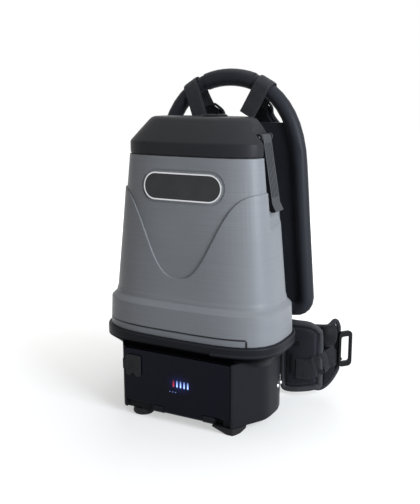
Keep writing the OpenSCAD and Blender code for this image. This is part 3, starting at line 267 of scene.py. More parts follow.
def base_plastic():
    """Black casing. Painted shade darkens the flare below its lip, most of all in front over the door,
    and painted highlights run along the lip's two edges."""
    shine = 0.06
    look = moulded("base_plastic", (0.0112, 0.0117, 0.0145), 0.36, grain=0.00005, specular=shine,
                   spots=0.3, edge=2.4)
    _, y, z = look.position()
    # Painted highlights along the lip's lower and upper edges
    lower, upper = (look.between(z, *edge, 0.0008) for edge in LIP_EDGES)
    painted_lip_highlight = look.math("MAXIMUM", lower, upper)
    look.tint(look.math("MULTIPLY", painted_lip_highlight, 0.8), (0.026, 0.027, 0.032))
    # Painted shade in the flare under the lip, deepest in front, with the specular turned down there
    front = look.ranged(y, 1.0, 0.25, -0.142, -0.100)
    under = look.math("MULTIPLY", look.between(z, *FLARE, 0.0025), front)
    look.tint(under, (0.0004, 0.0004, 0.0008))
    look.link(look.ranged(under, shine, 0.005), look.bsdf.inputs["Specular IOR Level"])
    return look.mat


def latch_plastic():
    """The lever is a paler grey, and its narrow front and rear sides are darkened with painted shade."""
    look = moulded("latch_plastic", (0.044, 0.046, 0.051), 0.42, grain=0.00004, specular=0.15, edge=0.8)
    # Painted shade on the sides whose normals face front and rear
    _, ny, _ = look.split(look.add("ShaderNodeNewGeometry").outputs["True Normal"])
    side = look.ranged(look.math("ABSOLUTE", ny), 0.0, 1.0, 0.55, 0.75)
    look.tint(side, (0.007, 0.0075, 0.010))
    return look.mat


def trim_plastic():
    """Trim strip with the shadow of its gap along the upper edge and the end."""
    look = moulded("trim_plastic", (0.176, 0.183, 0.199), 0.36, grain=0.00002, specular=0.3, edge=0.8)
    x, _, z = look.position()
    right, _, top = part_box("skirt_trim")[1]
    gaps = [look.ranged(value, 0.0, 1.0, edge - 2.2 * MM, edge - 1.2 * MM)
            for value, edge in ((z, top), (x, right))]
    look.tint(look.math("MAXIMUM", *gaps), (0.006, 0.006, 0.008))
    return look.mat


LIGHTS_AT = (8 * MM, 74 * MM)      # x and z of the middle of the status lights on the door


def door_plastic():
    """Near-black door with the status lights' glow through the thin wall round them."""
    look = moulded("door_plastic", (0.0040, 0.0042, 0.0098), 0.26, grain=0.00002, specular=0.08, spots=0.2)
    x, _, z = look.position()
    dx, dz = (look.math("SUBTRACT", value, middle) for value, middle in zip((x, z), LIGHTS_AT))
    halo = look.ranged(look.radius(dx, dz, 2.2), 1.0, 0.0, 0.004, 0.034)
    glow = look.math("MULTIPLY", look.math("POWER", halo, 2.4), 0.085)
    look.set(Emission_Color=(0.10, 0.16, 1.0, 1.0))
    look.link(glow, look.bsdf.inputs["Emission Strength"])
    return look.mat


def rubber():
    """Black rubber with some pale dust on it."""
    look = Look("rubber", (0.010, 0.010, 0.011), 0.62, specular=0.2)
    look.rough(look.noise(60.0, 4.0), 0.52, 0.72)
    look.bump(look.noise(700.0), 0.00006)
    look.mottle(look.noise(35.0, 5.0), (0.045, 0.044, 0.042), 0.5, 0.52)
    return look.mat


def metal(name, color, roughness):
    look = Look(name, color, roughness, metallic=1.0)
    look.rough(look.noise(300.0), roughness - 0.08, roughness + 0.12)
    look.mottle(look.noise(40.0, 4.0), scaled(color, 0.8), 0.6, 0.5, 0.8)
    look.bump(look.noise(900.0, 2.0), 0.00001)
    return look.mat


def badge_plate_look():
    """Bare dark plate, brushed along its length."""
    look = Look("badge_inlay", (0.026, 0.027, 0.029), 0.32, specular=0.25)
    look.rough(look.noise(300.0, 3.0, look.stretched((0.05, 1.0, 1.0))), 0.24, 0.42)
    look.bump(look.noise(1400.0, 2.0), 0.00002)
    look.mottle(look.noise(30.0, 4.0), (0.043, 0.044, 0.048), 0.5)
    return look.mat


def light_guide():
    """Status lights: the leftmost bar red, the others and the dots under them blue-white."""
    look = Look("light_guide", (0.012, 0.016, 0.040), 0.25, specular=0.1)
    x, _, z = look.position()
    leftmost = look.ranged(x, 1.0, 0.0, -0.0025, 0.0015)
    in_bars = look.ranged(z, 0.0, 1.0, 0.062, 0.070)
    red = look.math("MULTIPLY", leftmost, in_bars)
    look.set(Emission_Color=(0.30, 0.45, 1.0, 1.0))
    look.tint(red, (1.0, 0.05, 0.10), "Emission Color")
    # The bars are brightest near their foot and fade upwards, the red one is dimmer, and the dots are dim
    rise = look.ranged(z, 0.0, 1.0, 0.0675, 0.0700)
    fade = look.ranged(z, 2.4, 0.35, 0.0710, 0.0800)
    dots = look.ranged(z, 0.45, 0.0, 0.0610, 0.0620)
    bars = look.math("MULTIPLY", look.math("MULTIPLY", rise, fade), look.ranged(red, 1.0, 0.3))
    look.link(look.math("ADD", bars, dots), look.bsdf.inputs["Emission Strength"])
    return look.mat


STITCH_ROW, STITCH_PITCH = 0.0034, 0.0042      # distance of the stitches from a seam, and their pitch


def seam_stitches(look, color):
    """A row of stitches beside each seam. The mesh's "weave" holds the lengths across and along the
    fabric, which this returns, and the distance to the nearest seam."""
    source = look.add("ShaderNodeAttribute", attribute_name="weave")
    across, along, edge = look.split(source.outputs["Vector"])
    off_row = look.math("ABSOLUTE", look.math("SUBTRACT", edge, STITCH_ROW))
    row = look.ranged(off_row, 1.0, 0.0, 0.0003, 0.0009)
    phase = look.math("MULTIPLY", look.math("ADD", across, along), 2 * math.pi / STITCH_PITCH)
    dash = look.ranged(look.math("SINE", phase), 0.0, 1.0, -0.3, 0.0)
    stitch = look.math("MULTIPLY", row, dash)
    look.bump(stitch, 0.0003)
    look.tint(stitch, scaled(color, 2.6))
    return across, along


def mesh_fabric(name, color):
    """Spacer mesh: knitted holes over a darker ground."""
    look = Look(name, color, 0.85, specular=0.12, sheen=0.10)
    look.set(Sheen_Roughness=0.45)
    hole = 0.0026
    holes = look.cells(1.0 / hole)
    look.tint(look.ranged(holes, 0.55, 0.0, 0.0, 0.45), scaled(color, 0.35))
    look.mottle(look.noise(14.0, 4.0), scaled(color, 1.6), 0.5)
    look.bump(look.ranged(holes, 0.0, 1.0, 0.05, 0.5), 0.00035)
    look.bump(look.noise(160.0, 4.0), 0.0004)
    look.rough(look.noise(90.0), 0.78, 0.95)
    seam_stitches(look, color)
    return look.mat


def smooth_fabric(name, color):
    """Close-woven nylon shell: fine diagonal weave and soft creases."""
    look = Look(name, color, 0.72, specular=0.18, sheen=0.12)
    look.set(Sheen_Roughness=0.4)
    weave = look.add("ShaderNodeTexWave", wave_type="BANDS", bands_direction="DIAGONAL")
    look.feed(weave, Vector=look.object_space, Scale=175.0, Distortion=0.6, Detail=1.0)
    look.bump(weave.outputs["Fac"], 0.00012)
    look.bump(look.noise(38.0, 5.0), 0.0011)
    look.mottle(look.noise(22.0, 5.0), scaled(color, 1.9), 0.6)
    look.rough(look.noise(70.0, 4.0), 0.62, 0.82)
    seam_stitches(look, color)
    return look.mat


def webbing_look(name, color):
    """Woven webbing: ribs across it, the threads along it, and a row of stitches near each edge."""
    look = Look(name, color, 0.66, specular=0.2, sheen=0.10)
    rib_pitch, thread_pitch = 0.0016, 0.0011
    across, along = seam_stitches(look, color)
    rib = look.math("SINE", look.math("MULTIPLY", along, 2 * math.pi / rib_pitch))
    thread = look.math("SINE", look.math("MULTIPLY", across, 2 * math.pi / thread_pitch))
    look.bump(look.math("MULTIPLY", rib, look.math("ADD", thread, 1.4)), 0.00012)
    look.mottle(look.noise(60.0, 4.0), scaled(color, 1.7), 0.7, 0.4, 0.8)
    look.rough(look.noise(120.0), 0.56, 0.78)
    return look.mat


def fleece(name, color):
    look = Look(name, color, 0.9, specular=0.15, sheen=0.3)
    look.bump(look.noise(420.0, 5.0), 0.00025)
    look.bump(look.noise(45.0, 4.0), 0.0012)
    look.mottle(look.noise(30.0, 5.0), scaled(color, 0.78), 0.6, 0.4, 0.8)
    return look.mat


def card_look():
    look = Look("pressed_card", (0.42, 0.30, 0.17), 0.8, specular=0.2)
    look.bump(look.noise(500.0, 4.0), 0.00008)
    look.mottle(look.noise(140.0, 4.0), (0.30, 0.20, 0.11), 0.6, 0.4, 0.8)
    return look.mat


def board_look():
    """Circuit board: raised tracks, lighter than the coating between them."""
    look = Look("coated_board", (0.015, 0.075, 0.03), 0.35)
    tracks = look.cells(260.0)
    look.mottle(tracks, (0.03, 0.13, 0.06), 0.8, 0.3, 0.32)
    look.bump(tracks, 0.0001)
    return look.mat


MATERIALS = {
    "tank_grey": tank_plastic(),
    "trim_grey": trim_plastic(),
    "bezel_silver": metal("satin_silver", (0.62, 0.63, 0.65), 0.28),
    "plate_black": badge_plate_look(),
    "lid_charcoal": moulded("lid_plastic", (0.0185, 0.0187, 0.0215), 0.42, grain=0.00006, edge=0).mat,
    "base_black": base_plastic(),
    "door_black": door_plastic(),
    "latch_grey": latch_plastic(),
    "soft_black": rubber(),
    "steel": metal("plated_steel", (0.62, 0.62, 0.64), 0.30),
    "light_blue": light_guide(),
    "motor_metal": metal("cast_metal", (0.42, 0.43, 0.45), 0.45),
    "board_green": board_look(),
    "brass": metal("brass", (0.62, 0.44, 0.16), 0.3),
    "cell_grey": moulded("cell_case", (0.026, 0.028, 0.034), 0.5).mat,
    "filter_white": fleece("pleated_fleece", (0.70, 0.70, 0.66)),
    "filter_dark": fleece("open_foam", (0.03, 0.03, 0.03)),
    "bag_fleece": fleece("bag_fleece", (0.62, 0.58, 0.48)),
    "bag_card": card_look(),
    "frame_black": moulded("frame_plastic", (0.0172, 0.0186, 0.0236), 0.46, grain=0.00008,
                           spots=0.3, edge=0).mat,
    "pad_mesh": mesh_fabric("pad_mesh", (0.0098, 0.0104, 0.0130)),
    "webbing": webbing_look("webbing", (0.0105, 0.0110, 0.0138)),
    "buckle_black": moulded("buckle_plastic", (0.0055, 0.0055, 0.0064), 0.4, edge=1.5).mat,
}
BOLT_PLASTIC = moulded("bolt_plastic", (0.017, 0.0175, 0.019), 0.4).mat
SHELL_FABRIC = smooth_fabric("shell_fabric", (0.0120, 0.0127, 0.0175))
BINDING = smooth_fabric("binding_tape", (0.022, 0.023, 0.027))
LOOP_WEBBING = webbing_look("loop_webbing", (0.018, 0.0185, 0.0230))
COVER_BINDING = smooth_fabric("cover_binding", (0.047, 0.048, 0.053))
ROLL_FABRIC = smooth_fabric("roll_fabric", (0.0048, 0.0050, 0.0066))
SHADE_SHEET_FABRIC = smooth_fabric("dark_fabric", (0.0030, 0.0031, 0.0040))


# ---------- mesh helpers ----------
def new_object(name, mesh):
    obj = bpy.data.objects.new(name, mesh)
    scene.collection.objects.link(obj)
    return obj


def points_of(mesh):
    co = np.empty(len(mesh.vertices) * 3)
    mesh.vertices.foreach_get("co", co)
    return co.reshape(-1, 3)


def put_points(mesh, co):
    mesh.vertices.foreach_set("co", np.asarray(co, float).ravel())
    mesh.update()


def smooth(mesh, angle=None):
    """Shades a mesh smooth, with its edges over that angle in degrees sharp."""
    mesh.shade_smooth()
    if angle is not None:
        mesh.set_sharp_from_angle(angle=math.radians(angle))


def grid_mesh(name, rings, loop=False):
    """Closed mesh through rings with equal numbers of points. With loop the last ring joins the first;
    without it both end rings are capped."""
    rings = [np.asarray(r, float) for r in rings]
    n, m = len(rings[0]), len(rings)
    faces = []
    for j in range(m if loop else m - 1):
        for i in range(n):
            a, b = j * n + i, j * n + (i + 1) % n
            c, d = ((j + 1) % m) * n + (i + 1) % n, ((j + 1) % m) * n + i
            faces.append((a, b, c, d))
    if not loop:
        faces.append(tuple(range(n - 1, -1, -1)))
        faces.append(tuple((m - 1) * n + i for i in range(n)))
    mesh = bpy.data.meshes.new(name)
    mesh.from_pydata([tuple(p) for r in rings for p in r], [], faces)
    mesh.update()
    bm = bmesh.new()
    bm.from_mesh(mesh)
    bmesh.ops.recalc_face_normals(bm, faces=bm.faces)
    bm.to_mesh(mesh)
    bm.free()
    return mesh


def spline(points, n):
    """Catmull-Rom curve through the points, n steps to each stretch."""
    p = [np.asarray(q, float) for q in points]
    out = []
    for i in range(len(p) - 1):
        a, b, c, d = p[max(i - 1, 0)], p[i], p[i + 1], p[min(i + 2, len(p) - 1)]
        for k in range(n):
            t = k / n
            out.append(0.5 * (2 * b + (c - a) * t + (2 * a - 5 * b + 4 * c - d) * t * t
                              + (3 * b - a - 3 * c + d) * t ** 3))
    out.append(p[-1])
    return np.array(out)


def unit(v):
    v = np.asarray(v, float)
    return v / np.maximum(np.linalg.norm(v, axis=-1, keepdims=True), 1e-12)


def tangents(path, loop=False):
    if loop:
        return unit(np.roll(path, -1, 0) - np.roll(path, 1, 0))
    return unit(np.gradient(path, axis=0))


def lengths(path):
    """Length of a path up to each of its points."""
    return np.concatenate([[0.0], np.cumsum(np.linalg.norm(np.diff(path, axis=0), axis=1))])


def store_weave(mesh, values):
    """Stores each point's lengths across and along the fabric and its distance to the nearest seam."""
    attribute = mesh.attributes.new("weave", "FLOAT_VECTOR", "POINT")
    attribute.data.foreach_set("vector", np.asarray(values, np.float32).ravel())


def band(name, path, across, width, thickness):
    """Webbing swept along a path. across is the direction of its width; its edges are rounded."""
    steps = 8
    path = np.asarray(path, float)
    t = tangents(path)
    across = np.broadcast_to(np.asarray(across, float), path.shape)
    across = unit(across - (across * t).sum(1, keepdims=True) * t)
    face = np.cross(t, across)
    lean = thickness / 2
    section = [(w / steps - 0.5, side) for side in (1, -1)
               for w in (range(steps + 1) if side > 0 else range(steps, -1, -1))]
    s = lengths(path)
    rings, weave = [], []
    for j, p in enumerate(path):
        ring = []
        for u, side in section:
            x = u * width
            edge = width / 2 - abs(x)
            h = lean * math.sqrt(max(0.0, 1 - (1 - min(1.0, edge / lean)) ** 2)) if edge < lean else lean
            h = max(h, lean * 0.35)
            ring.append(p + across[j] * x + face[j] * h * side)
            weave.append((x, s[j], edge))
        rings.append(ring)
    mesh = grid_mesh(name, rings)
    store_weave(mesh, weave)
    smooth(mesh, 50)
    return new_object(name, mesh)


def tube(name, path, radius, sides=10, loop=False, flat=1.0, up=(0, 0, 1)):
    """Cord along a path. It is flat times as wide as it is thick, with its width square to up."""
    path = np.asarray(path, float)
    t = tangents(path, loop)
    a = unit(np.cross(t, np.broadcast_to(np.asarray(up, float), path.shape)))
    b = np.cross(t, a)
    rings = [[p + radius * (math.cos(g) * flat * a[j] + math.sin(g) * b[j])
              for g in np.linspace(0, 2 * math.pi, sides, endpoint=False)] for j, p in enumerate(path)]
    mesh = grid_mesh(name, rings, loop=loop)
    smooth(mesh, 60)
    return new_object(name, mesh)


def dress(obj, slot, body, material=None, replaces=()):
    """Gives a piece its body and its material, which is the slot's own unless one is given."""
    obj.data.materials.clear()
    obj.data.materials.append(material or MATERIALS[slot])
    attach(obj, body)
    if replaces:
        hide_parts(*replaces)
    return obj


# ---------- courses of the swept soft solids ----------
# The body that each CAD node rides on
BODY = {name: body_of(node)[0] for name, node in frame["nodes"].items()}


class Course:
    """Middle line of a swept CAD solid, with the direction and size of its width and of its outer face.

    corners is the number of points round its section, first picks the end that it starts from, and
    outward is roughly the direction of its outer face."""

    def __init__(self, node, corners, first, outward):
        bm = bmesh.new()
        bm.from_mesh(frame["nodes"][node].data)
        bmesh.ops.remove_doubles(bm, verts=bm.verts, dist=1e-6)
        ring = {min((v for v in bm.verts if len(v.link_edges) == corners), key=lambda v: first(v.co))}
        seen = set(ring)
        middle, across, width, depth = [], [], [], []
        while True:
            ring = {e.other_vert(v) for v in ring for e in v.link_edges} - seen
            if len(ring) < corners:
                break
            seen |= ring
            co = np.array([v.co[:] for v in ring])
            axes = np.linalg.svd(co - co.mean(0))[2]
            side = axes[0] if not across or axes[0] @ across[-1] > 0 else -axes[0]
            spread = (co - co.mean(0)) @ axes.T
            middle.append(co.mean(0))
            across.append(side)
            width.append(np.ptp(spread[:, 0]))
            depth.append(np.ptp(spread[:, 1]))
        bm.free()
        self.set(middle, across, width, depth)
        if (self.face @ np.asarray(outward, float)).mean() < 0:
            self.set(middle, -self.across, width, depth)

    def set(self, middle, across, width, depth):
        self.middle, self.across = np.array(middle), unit(across)
        self.width, self.depth = np.array(width), np.array(depth)
        self.face = unit(np.cross(tangents(self.middle), self.across))
        self.tangent = np.cross(self.across, self.face)
        self.at = lengths(self.middle)

    @classmethod
    def through(cls, *fields):
        """A course that is not read from a solid; the fields are those of set."""
        course = cls.__new__(cls)
        course.set(*fields)
        return course

    def refined(self, steps):
        """The same course on a smooth curve with more points."""
        sizes = spline(np.column_stack([self.width, self.depth]), steps)
        return Course.through(spline(self.middle, steps), spline(self.across, steps), *sizes.T)

    def local(self, co):
        """Each point's length along the course, distance across it and height over it."""
        rest = co[:, None, :] - self.middle[None]
        ahead = np.abs((rest * self.tangent[None]).sum(2))
        near = (ahead + 0.05 * np.linalg.norm(rest, axis=2)).argmin(1)
        rest = co - self.middle[near]
        return (self.at[near] + (rest * self.tangent[near]).sum(1), (rest * self.across[near]).sum(1),
                (rest * self.face[near]).sum(1))

    def on(self, s, u, h):
        """Points at a length along, a distance across and a height."""
        s, u, h = np.broadcast_arrays(np.asarray(s, float), u, h)
        pick = [np.stack([np.interp(s, self.at, field[:, k]) for k in range(3)], -1)
                for field in (self.middle, self.across, self.face)]
        return pick[0] + pick[1] * u[..., None] + pick[2] * h[..., None]

    def reshaped(self, narrower, aside):
        """The same course with less width and moved sideways, each given along its length."""
        middle = self.middle + np.outer(aside, (1, 0, 0))
        return Course.through(middle, self.across, self.width - narrower, self.depth)

    def outline(self, inset):
        """Closed line round the piece, the inset inside its edges and ends."""
        s = np.linspace(inset, self.at[-1] - inset, len(self.at))
        reach = np.maximum(np.interp(s, self.at, self.width) / 2 - inset, 2 * MM)
        return np.concatenate([self.on(s, reach, 0.0), self.on(s, -reach, 0.0)[::-1]])


# ---------- cushions ----------
VOXEL = 0.0040
SEAM_WIDTH = 0.0026          # how wide a seam draws the fabric in
SIM_FRAMES = 20
cushions = []


def applied(obj):
    """Applies the object's modifiers."""
    graph = bpy.context.evaluated_depsgraph_get()
    graph.update()
    mesh = bpy.data.meshes.new_from_object(obj.evaluated_get(graph), depsgraph=graph)
    obj.modifiers.clear()
    obj.data = mesh
    mesh.name = obj.name


def cushion(node, name, measure, seam, keep=None, shape=None, shrink=0.0016, fill=0.6, depth=0.0024):
    """A CAD cushion remeshed evenly and drawn in a little, so that it can swell into its place.

    measure gives each point's lengths along and across, seam its distance to the nearest seam, keep puts
    points back that would leave the cushion's room, and shape moves the points right after the remesh.
    shrink is how far the cushion is drawn in, and depth how deep its seams are pressed in. fill is not used."""
    obj = new_object(name, frame["nodes"][node].data.copy())
    obj.data.materials.clear()
    weld = obj.modifiers.new("weld", "WELD")
    weld.merge_threshold = 1e-5
    remesh = obj.modifiers.new("remesh", "REMESH")
    remesh.mode = "VOXEL"
    remesh.voxel_size = VOXEL
    applied(obj)
    if shape:
        put_points(obj.data, shape(points_of(obj.data)))
    normals = np.array([v.normal[:] for v in obj.data.vertices])
    put_points(obj.data, points_of(obj.data) - normals * shrink)
    cushions.append((obj, measure, seam, keep, fill, depth))
    return obj


def swell(pressure, limit):
    """Blows all cushions up as cloth in one run. Their seams are held, and no point moves past the limit."""
    starts = {}
    for obj, _, seam, *_ in cushions:
        starts[obj.name] = points_of(obj.data)
        held = obj.vertex_groups.new(name="held")
        distance = seam(starts[obj.name])
        for index in np.nonzero(distance < 1.2 * VOXEL)[0]:
            held.add([int(index)], 1.0, "REPLACE")
        cloth = obj.modifiers.new("cloth", "CLOTH")
        settings = cloth.settings
        settings.quality = 4
        settings.mass = 0.25
        settings.tension_stiffness = 12
        settings.compression_stiffness = 12
        settings.shear_stiffness = 4
        settings.bending_stiffness = 0.4
        settings.use_pressure = True
        settings.uniform_pressure_force = pressure
        settings.effector_weights.gravity = 0
        settings.vertex_group_mass = held.name
        cloth.point_cache.frame_start = 1
        cloth.point_cache.frame_end = SIM_FRAMES
    for f in range(1, SIM_FRAMES + 1):
        scene.frame_set(f)
    for obj, *_ in cushions:
        applied(obj)
        obj.vertex_groups.clear()
        start = starts[obj.name]
        move = points_of(obj.data) - start
        size = np.linalg.norm(move, axis=1, keepdims=True)
        put_points(obj.data, start + move * np.minimum(1.0, limit / np.maximum(size, 1e-9)))
    scene.frame_set(1)


def groove(distance, width):
    """A soft groove: 1 on its line and next to nothing at twice its width from it."""
    return np.exp(-(distance / width) ** 2)


def sew(obj, measure, seam, keep, fill, depth):
    """Finishes a cushion: subdivides it, presses its seams in, keeps it in its room and stores the
    lengths of its fabric."""
    sub = obj.modifiers.new("sub", "SUBSURF")
    sub.levels = sub.render_levels = 1
    applied(obj)
    mesh = obj.data
    co = points_of(mesh)
    distance = seam(co)
    normals = np.array([v.normal[:] for v in mesh.vertices])
    co = co - normals * (depth * groove(distance, SEAM_WIDTH))[:, None]
    put_points(mesh, keep(co) if keep else co)
    along, across = measure(co)
    store_weave(mesh, np.column_stack([across, along, distance]))
    smooth(mesh)
    obj.vertex_groups.clear()


def binding(name, outline, radius, body, flat=1.0, up=(0, 0, 1), material=None):
    """Folded tape sewn round a cushion's edge."""
    piece = tube(name, outline, radius, sides=12, loop=True, flat=flat, up=up)
    return dress(piece, "pad_mesh", body, material or BINDING)


# ---------- the CAD nodes ----------
SLOT = {p["node"]: p["material_slot"] for p in frame["record"]["subparts"]}
# Bevel widths in mm that differ from the usual 0.7: sharp stamped parts less, thick mouldings more
BEVELS = {"body_shell": 1.0, "base_housing": 1.0, "lid_shell": 0.9, "back_frame": 0.9, "battery_door": 1.2,
          "badge_bezel": 0.4, "badge_plate": 0.3, "side_rivets": 0.3, "frame_bolts": 0.3, "door_pin": 0.2,
          "latch_pins": 0.2, "status_lights": 0.3, "skirt_trim": 0.4, "lid_gasket": 0.3, "control_board": 0.2,
          "battery_terminals": 0.2, "motor_filter": 0.3, "exhaust_filter": 0.3}


def dress_node(name, node):
    node.data.materials.clear()
    node.data.materials.append(MATERIALS[SLOT[name]])
    weld = node.modifiers.new("weld", "WELD")
    weld.merge_threshold = 2e-5
    flat = node.modifiers.new("flat", "DECIMATE")
    flat.decimate_type = "DISSOLVE"
    flat.angle_limit = math.radians(0.5)
    bevel = node.modifiers.new("bevel", "BEVEL")
    bevel.width = BEVELS.get(name, 0.7) * MM
    bevel.segments = 2
    bevel.limit_method = "ANGLE"
    bevel.angle_limit = math.radians(34)
    bevel.miter_outer = "MITER_ARC"
    node.data.shade_smooth()
    normals = node.modifiers.new("normals", "WEIGHTED_NORMAL")
    normals.keep_sharp = False
    normals.weight = 80


for name, node in frame["nodes"].items():
    dress_node(name, node)
frame["nodes"]["door_latch"].data.materials[0] = BOLT_PLASTIC


# ---------- soft goods ----------
SIDES = {"right": 1, "left": -1}
FRONT, REAR = (0, -1, 0), (0, 1, 0)


def to_seams(course, co, inset, seams):
    """Distance to the seam that runs inside the edge of a swept pad, or to the nearest one across it."""
    s, u, _ = course.local(co)
    width = np.interp(s, course.at, course.width)
    total = course.at[-1]
    distance = np.minimum(np.abs(width / 2 - inset - np.abs(u)), np.abs(np.minimum(s, total - s) - inset))
    for share in seams:
        distance = np.minimum(distance, np.abs(s - share * total))
    return distance


def two_tone(obj, course, other):
    """Gives the faces round the pad's edge another fabric than its front and rear."""
    mesh = obj.data
    mesh.materials.append(other)
    co = np.array([p.center[:] for p in mesh.polygons])
    s, u, _ = course.local(co)
    width = np.interp(s, course.at, course.width)
    rim = (np.abs(u) > width / 2 - 6 * MM).astype(np.int32)
    mesh.polygons.foreach_set("material_index", rim)
    mesh.update()


def carried(co, old, new):
    """Points of a remeshed pad carried from its CAD course to another, out to the full outline there.

    The remesh wears thin edges away, so the pad is stretched in its own plane until it reaches its edges:
    along it over the last stretch at each end, and across it by the reach found in each of the bins."""
    end, bins = 30 * MM, 40
    s, u, h = old.local(co)
    total = old.at[-1]
    first, last = s.min(), total - s.max()
    s = s - first * np.clip(1 - (s - first) / end, 0, 1) + last * np.clip(1 - (total - s - last) / end, 0, 1)
    share = s / total
    at = (np.arange(bins) + 0.5) / bins
    close = [np.abs(u[np.abs(s - k * total) < 3.5 * MM]) for k in at]
    known = np.array([len(near) > 0 for near in close])
    reach = np.interp(at, at[known], [near.max() for near in close if len(near)])
    aim = np.interp(at, new.at / new.at[-1], new.width) / 2 - 0.6 * MM
    stretch = np.interp(share, at, np.clip(aim / reach, 0.6, 1.7))
    return new.on(share * new.at[-1], u * stretch, h)


finishers = []


def add_pad(node, name, course, inset, seams, material=None, source=None, rim=None):
    """Cushion of a swept pad, its seams across given as shares of its length. source is the course of
    its CAD solid, if that is another one, and rim another fabric round its edge."""
    def measure(co):
        return course.local(co)[:2]

    def seam(co):
        return to_seams(course, co, inset, seams)

    def shape(co):
        return carried(co, source or course, course)

    def finish():
        dress(obj, "pad_mesh", BODY[node], material, replaces=(node,))
        if rim:
            two_tone(obj, course, rim)

    obj = cushion(node, name, measure, seam, shape=shape)
    finishers.append(finish)
    return obj


# Shoulder pads: quilted across, bound along their edges. The outer side of their upper end draws in.
PAD_SEAMS = [k / 6 for k in range(1, 6)]
PAD_WAIST = 17 * MM
WAIST_AT, WAIST_LENGTH = 0.028, 0.024      # lengths along the pad
LEFT_ASIDE = -8 * MM         # the left loop hangs more upright, and its pad's upper end with it
ASIDE_LENGTH = 0.07          # how far down the pad that goes
for side, sign in SIDES.items():
    node = f"shoulder_pad_{side}"
    source = Course(node, 16, lambda co: -co.z, REAR).refined(4)
    waist = PAD_WAIST * groove(source.at - WAIST_AT, WAIST_LENGTH)
    upper = LEFT_ASIDE * np.clip(1 - source.at / ASIDE_LENGTH, 0, 1) if side == "left" else 0.0
    course = source.reshaped(narrower=waist, aside=upper - sign * waist / 2)
    add_pad(node, f"shoulder_cushion_{side}", course, 0.007, PAD_SEAMS, source=source, rim=SHELL_FABRIC)
    binding(f"shoulder_binding_{side}", course.outline(0.0012), 0.0024, BODY[node])

# Belt wings and the padded covers on their outside: inset of the seam inside the edge, seams across,
# fabric, then the binding's inset, radius and fabric
BELT_PADS = {"belt_wing": (0.008, (0.36, 0.68), None, 0.0028, 0.0030, None),
             "hip_cover": (0.011, (), SHELL_FABRIC, 0.0036, 0.0040, COVER_BINDING)}
pads = {}
for side, sign in SIDES.items():
    outer = (0.3 * sign, -1, 0)
    for kind, (inset, seams, fabric, tape_inset, tape_radius, tape) in BELT_PADS.items():
        node = f"{kind}_{side}"
        course = Course(node, 16, lambda co: abs(co.x), outer).refined(4)
        pads[node] = add_pad(node, f"{kind}_cushion_{side}", course, inset, seams, fabric)
        binding(f"{kind}_binding_{side}", course.outline(tape_inset), tape_radius, BODY[node], flat=1.35,
                up=course.face.mean(0), material=tape)


# Back and lumbar pads: flat on the frame, crowned and quilted behind
def crown(u):
    """1 in the middle and 0 at -1 and 1, like half of a squared-off circle."""
    return np.maximum(0.0, 1 - u ** 4) ** (1 / 4)


def plate_cushion(node, name, channels, column):
    """Cushion with a seam inside its edge, seams across between its channels, and one up each side at
    the column's distance from its middle."""
    edge_seam = 0.009            # the seam's distance inside the edge
    flat_side = 0.004            # depth of the side on the frame, which has no seams
    low, high = (np.array(c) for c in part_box(node))
    size = high - low

    def half_width(z):
        return size[0] / 2 * (0.80 + 0.20 * crown(np.clip(2 * (z - low[2]) / size[2] - 1, -1, 1)))

    def measure(co):
        return co[:, 2] - low[2], co[:, 0]

    def seam(co):
        x, y, z = np.abs(co[:, 0]), co[:, 1], co[:, 2]
        to_ends = np.minimum(z - low[2], high[2] - z)
        distances = [half_width(z) - edge_seam - x, to_ends - edge_seam, x - column]
        distances += [z - low[2] - size[2] * k / channels for k in range(1, channels)]
        return np.where(y < low[1] + flat_side, 1.0, np.abs(distances).min(0))

    def keep(co):
        co[:, 1] = np.maximum(co[:, 1], low[1])
        return co

    obj = cushion(node, name, measure, seam, keep, depth=0.0030)
    finishers.append(lambda: dress(obj, "pad_mesh", BODY[node], replaces=(node,)))
    # The binding's middle runs inside the pad's edge, so that it covers the cushion's drawn-in seams
    inside, steps = 3 * MM, 40
    rise = 0.5 - 0.5 * np.cos(np.linspace(0.0, math.pi, steps))
    z = low[2] + inside + (size[2] - 2 * inside) * rise
    side_line = np.column_stack([half_width(z) - inside, np.full(steps, low[1] + 3.6 * MM), z])
    outline = np.concatenate([side_line, (side_line * (-1, 1, 1))[::-1]])
    binding(f"{name}_binding", outline, 0.0030, BODY[node], up=REAR)


plate_cushion("back_pad", "back_cushion", 4, 0.043)
plate_cushion("lumbar_pad", "lumbar_cushion", 3, 0.045)

# Dust bag: fleece with a folded seam up its sides and over its top, and one round its foot
BAG_FOOT = 0.012
bag_low, bag_high = (np.array(c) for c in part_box("dust_bag"))
bag_middle = (bag_low + bag_high) / 2


def bag_measure(co):
    return co[:, 2] - bag_low[2], co[:, 0] - bag_middle[0]


def bag_seam(co):
    return np.minimum(np.abs(co[:, 1] - bag_middle[1]), np.abs(co[:, 2] - bag_low[2] - BAG_FOOT))


bag = cushion("dust_bag", "dust_bag_fleece", bag_measure, bag_seam, shrink=0.004, fill=0.3, depth=0.0012)
finishers.append(lambda: dress(bag, "bag_fleece", BODY["dust_bag"], replaces=("dust_bag",)))

swell(pressure=4.0, limit=0.006)
for piece in cushions:
    sew(*piece)
for finisher in finishers:
    finisher()


# Webbing: the loops over the arch, the straps below the pads and the belt's bands
def webbing(node, first, outward, steps, change=None, material=None):
    """A band in the place of a strap's CAD solid, on its course or a change of it. Returns its path."""
    course = Course(node, 4, first, outward).refined(steps)
    path = change(course) if change else course.middle
    width, thickness = (float(np.median(sizes)) for sizes in (course.width, course.depth))
    piece = band(f"{node}_webbing", path, course.across[:len(path)], width, thickness)
    dress(piece, "webbing", BODY[node], material, replaces=(node,))
    return path


def upright(course):
    """The left loop's two ends hang more steeply than its solid's."""
    path = course.middle.copy()
    bend = path[:, 2].max() - 0.013      # the loop's bend over the arch stays down to this height
    drop = np.clip((bend - path[:, 2]) / (bend - path[:, 2].min()), 0, 1)
    front = path[:, 1] < path[:, 1].mean()
    path[:, 0] += drop * np.where(front, -14 * MM, LEFT_ASIDE * 1.4)
    return path


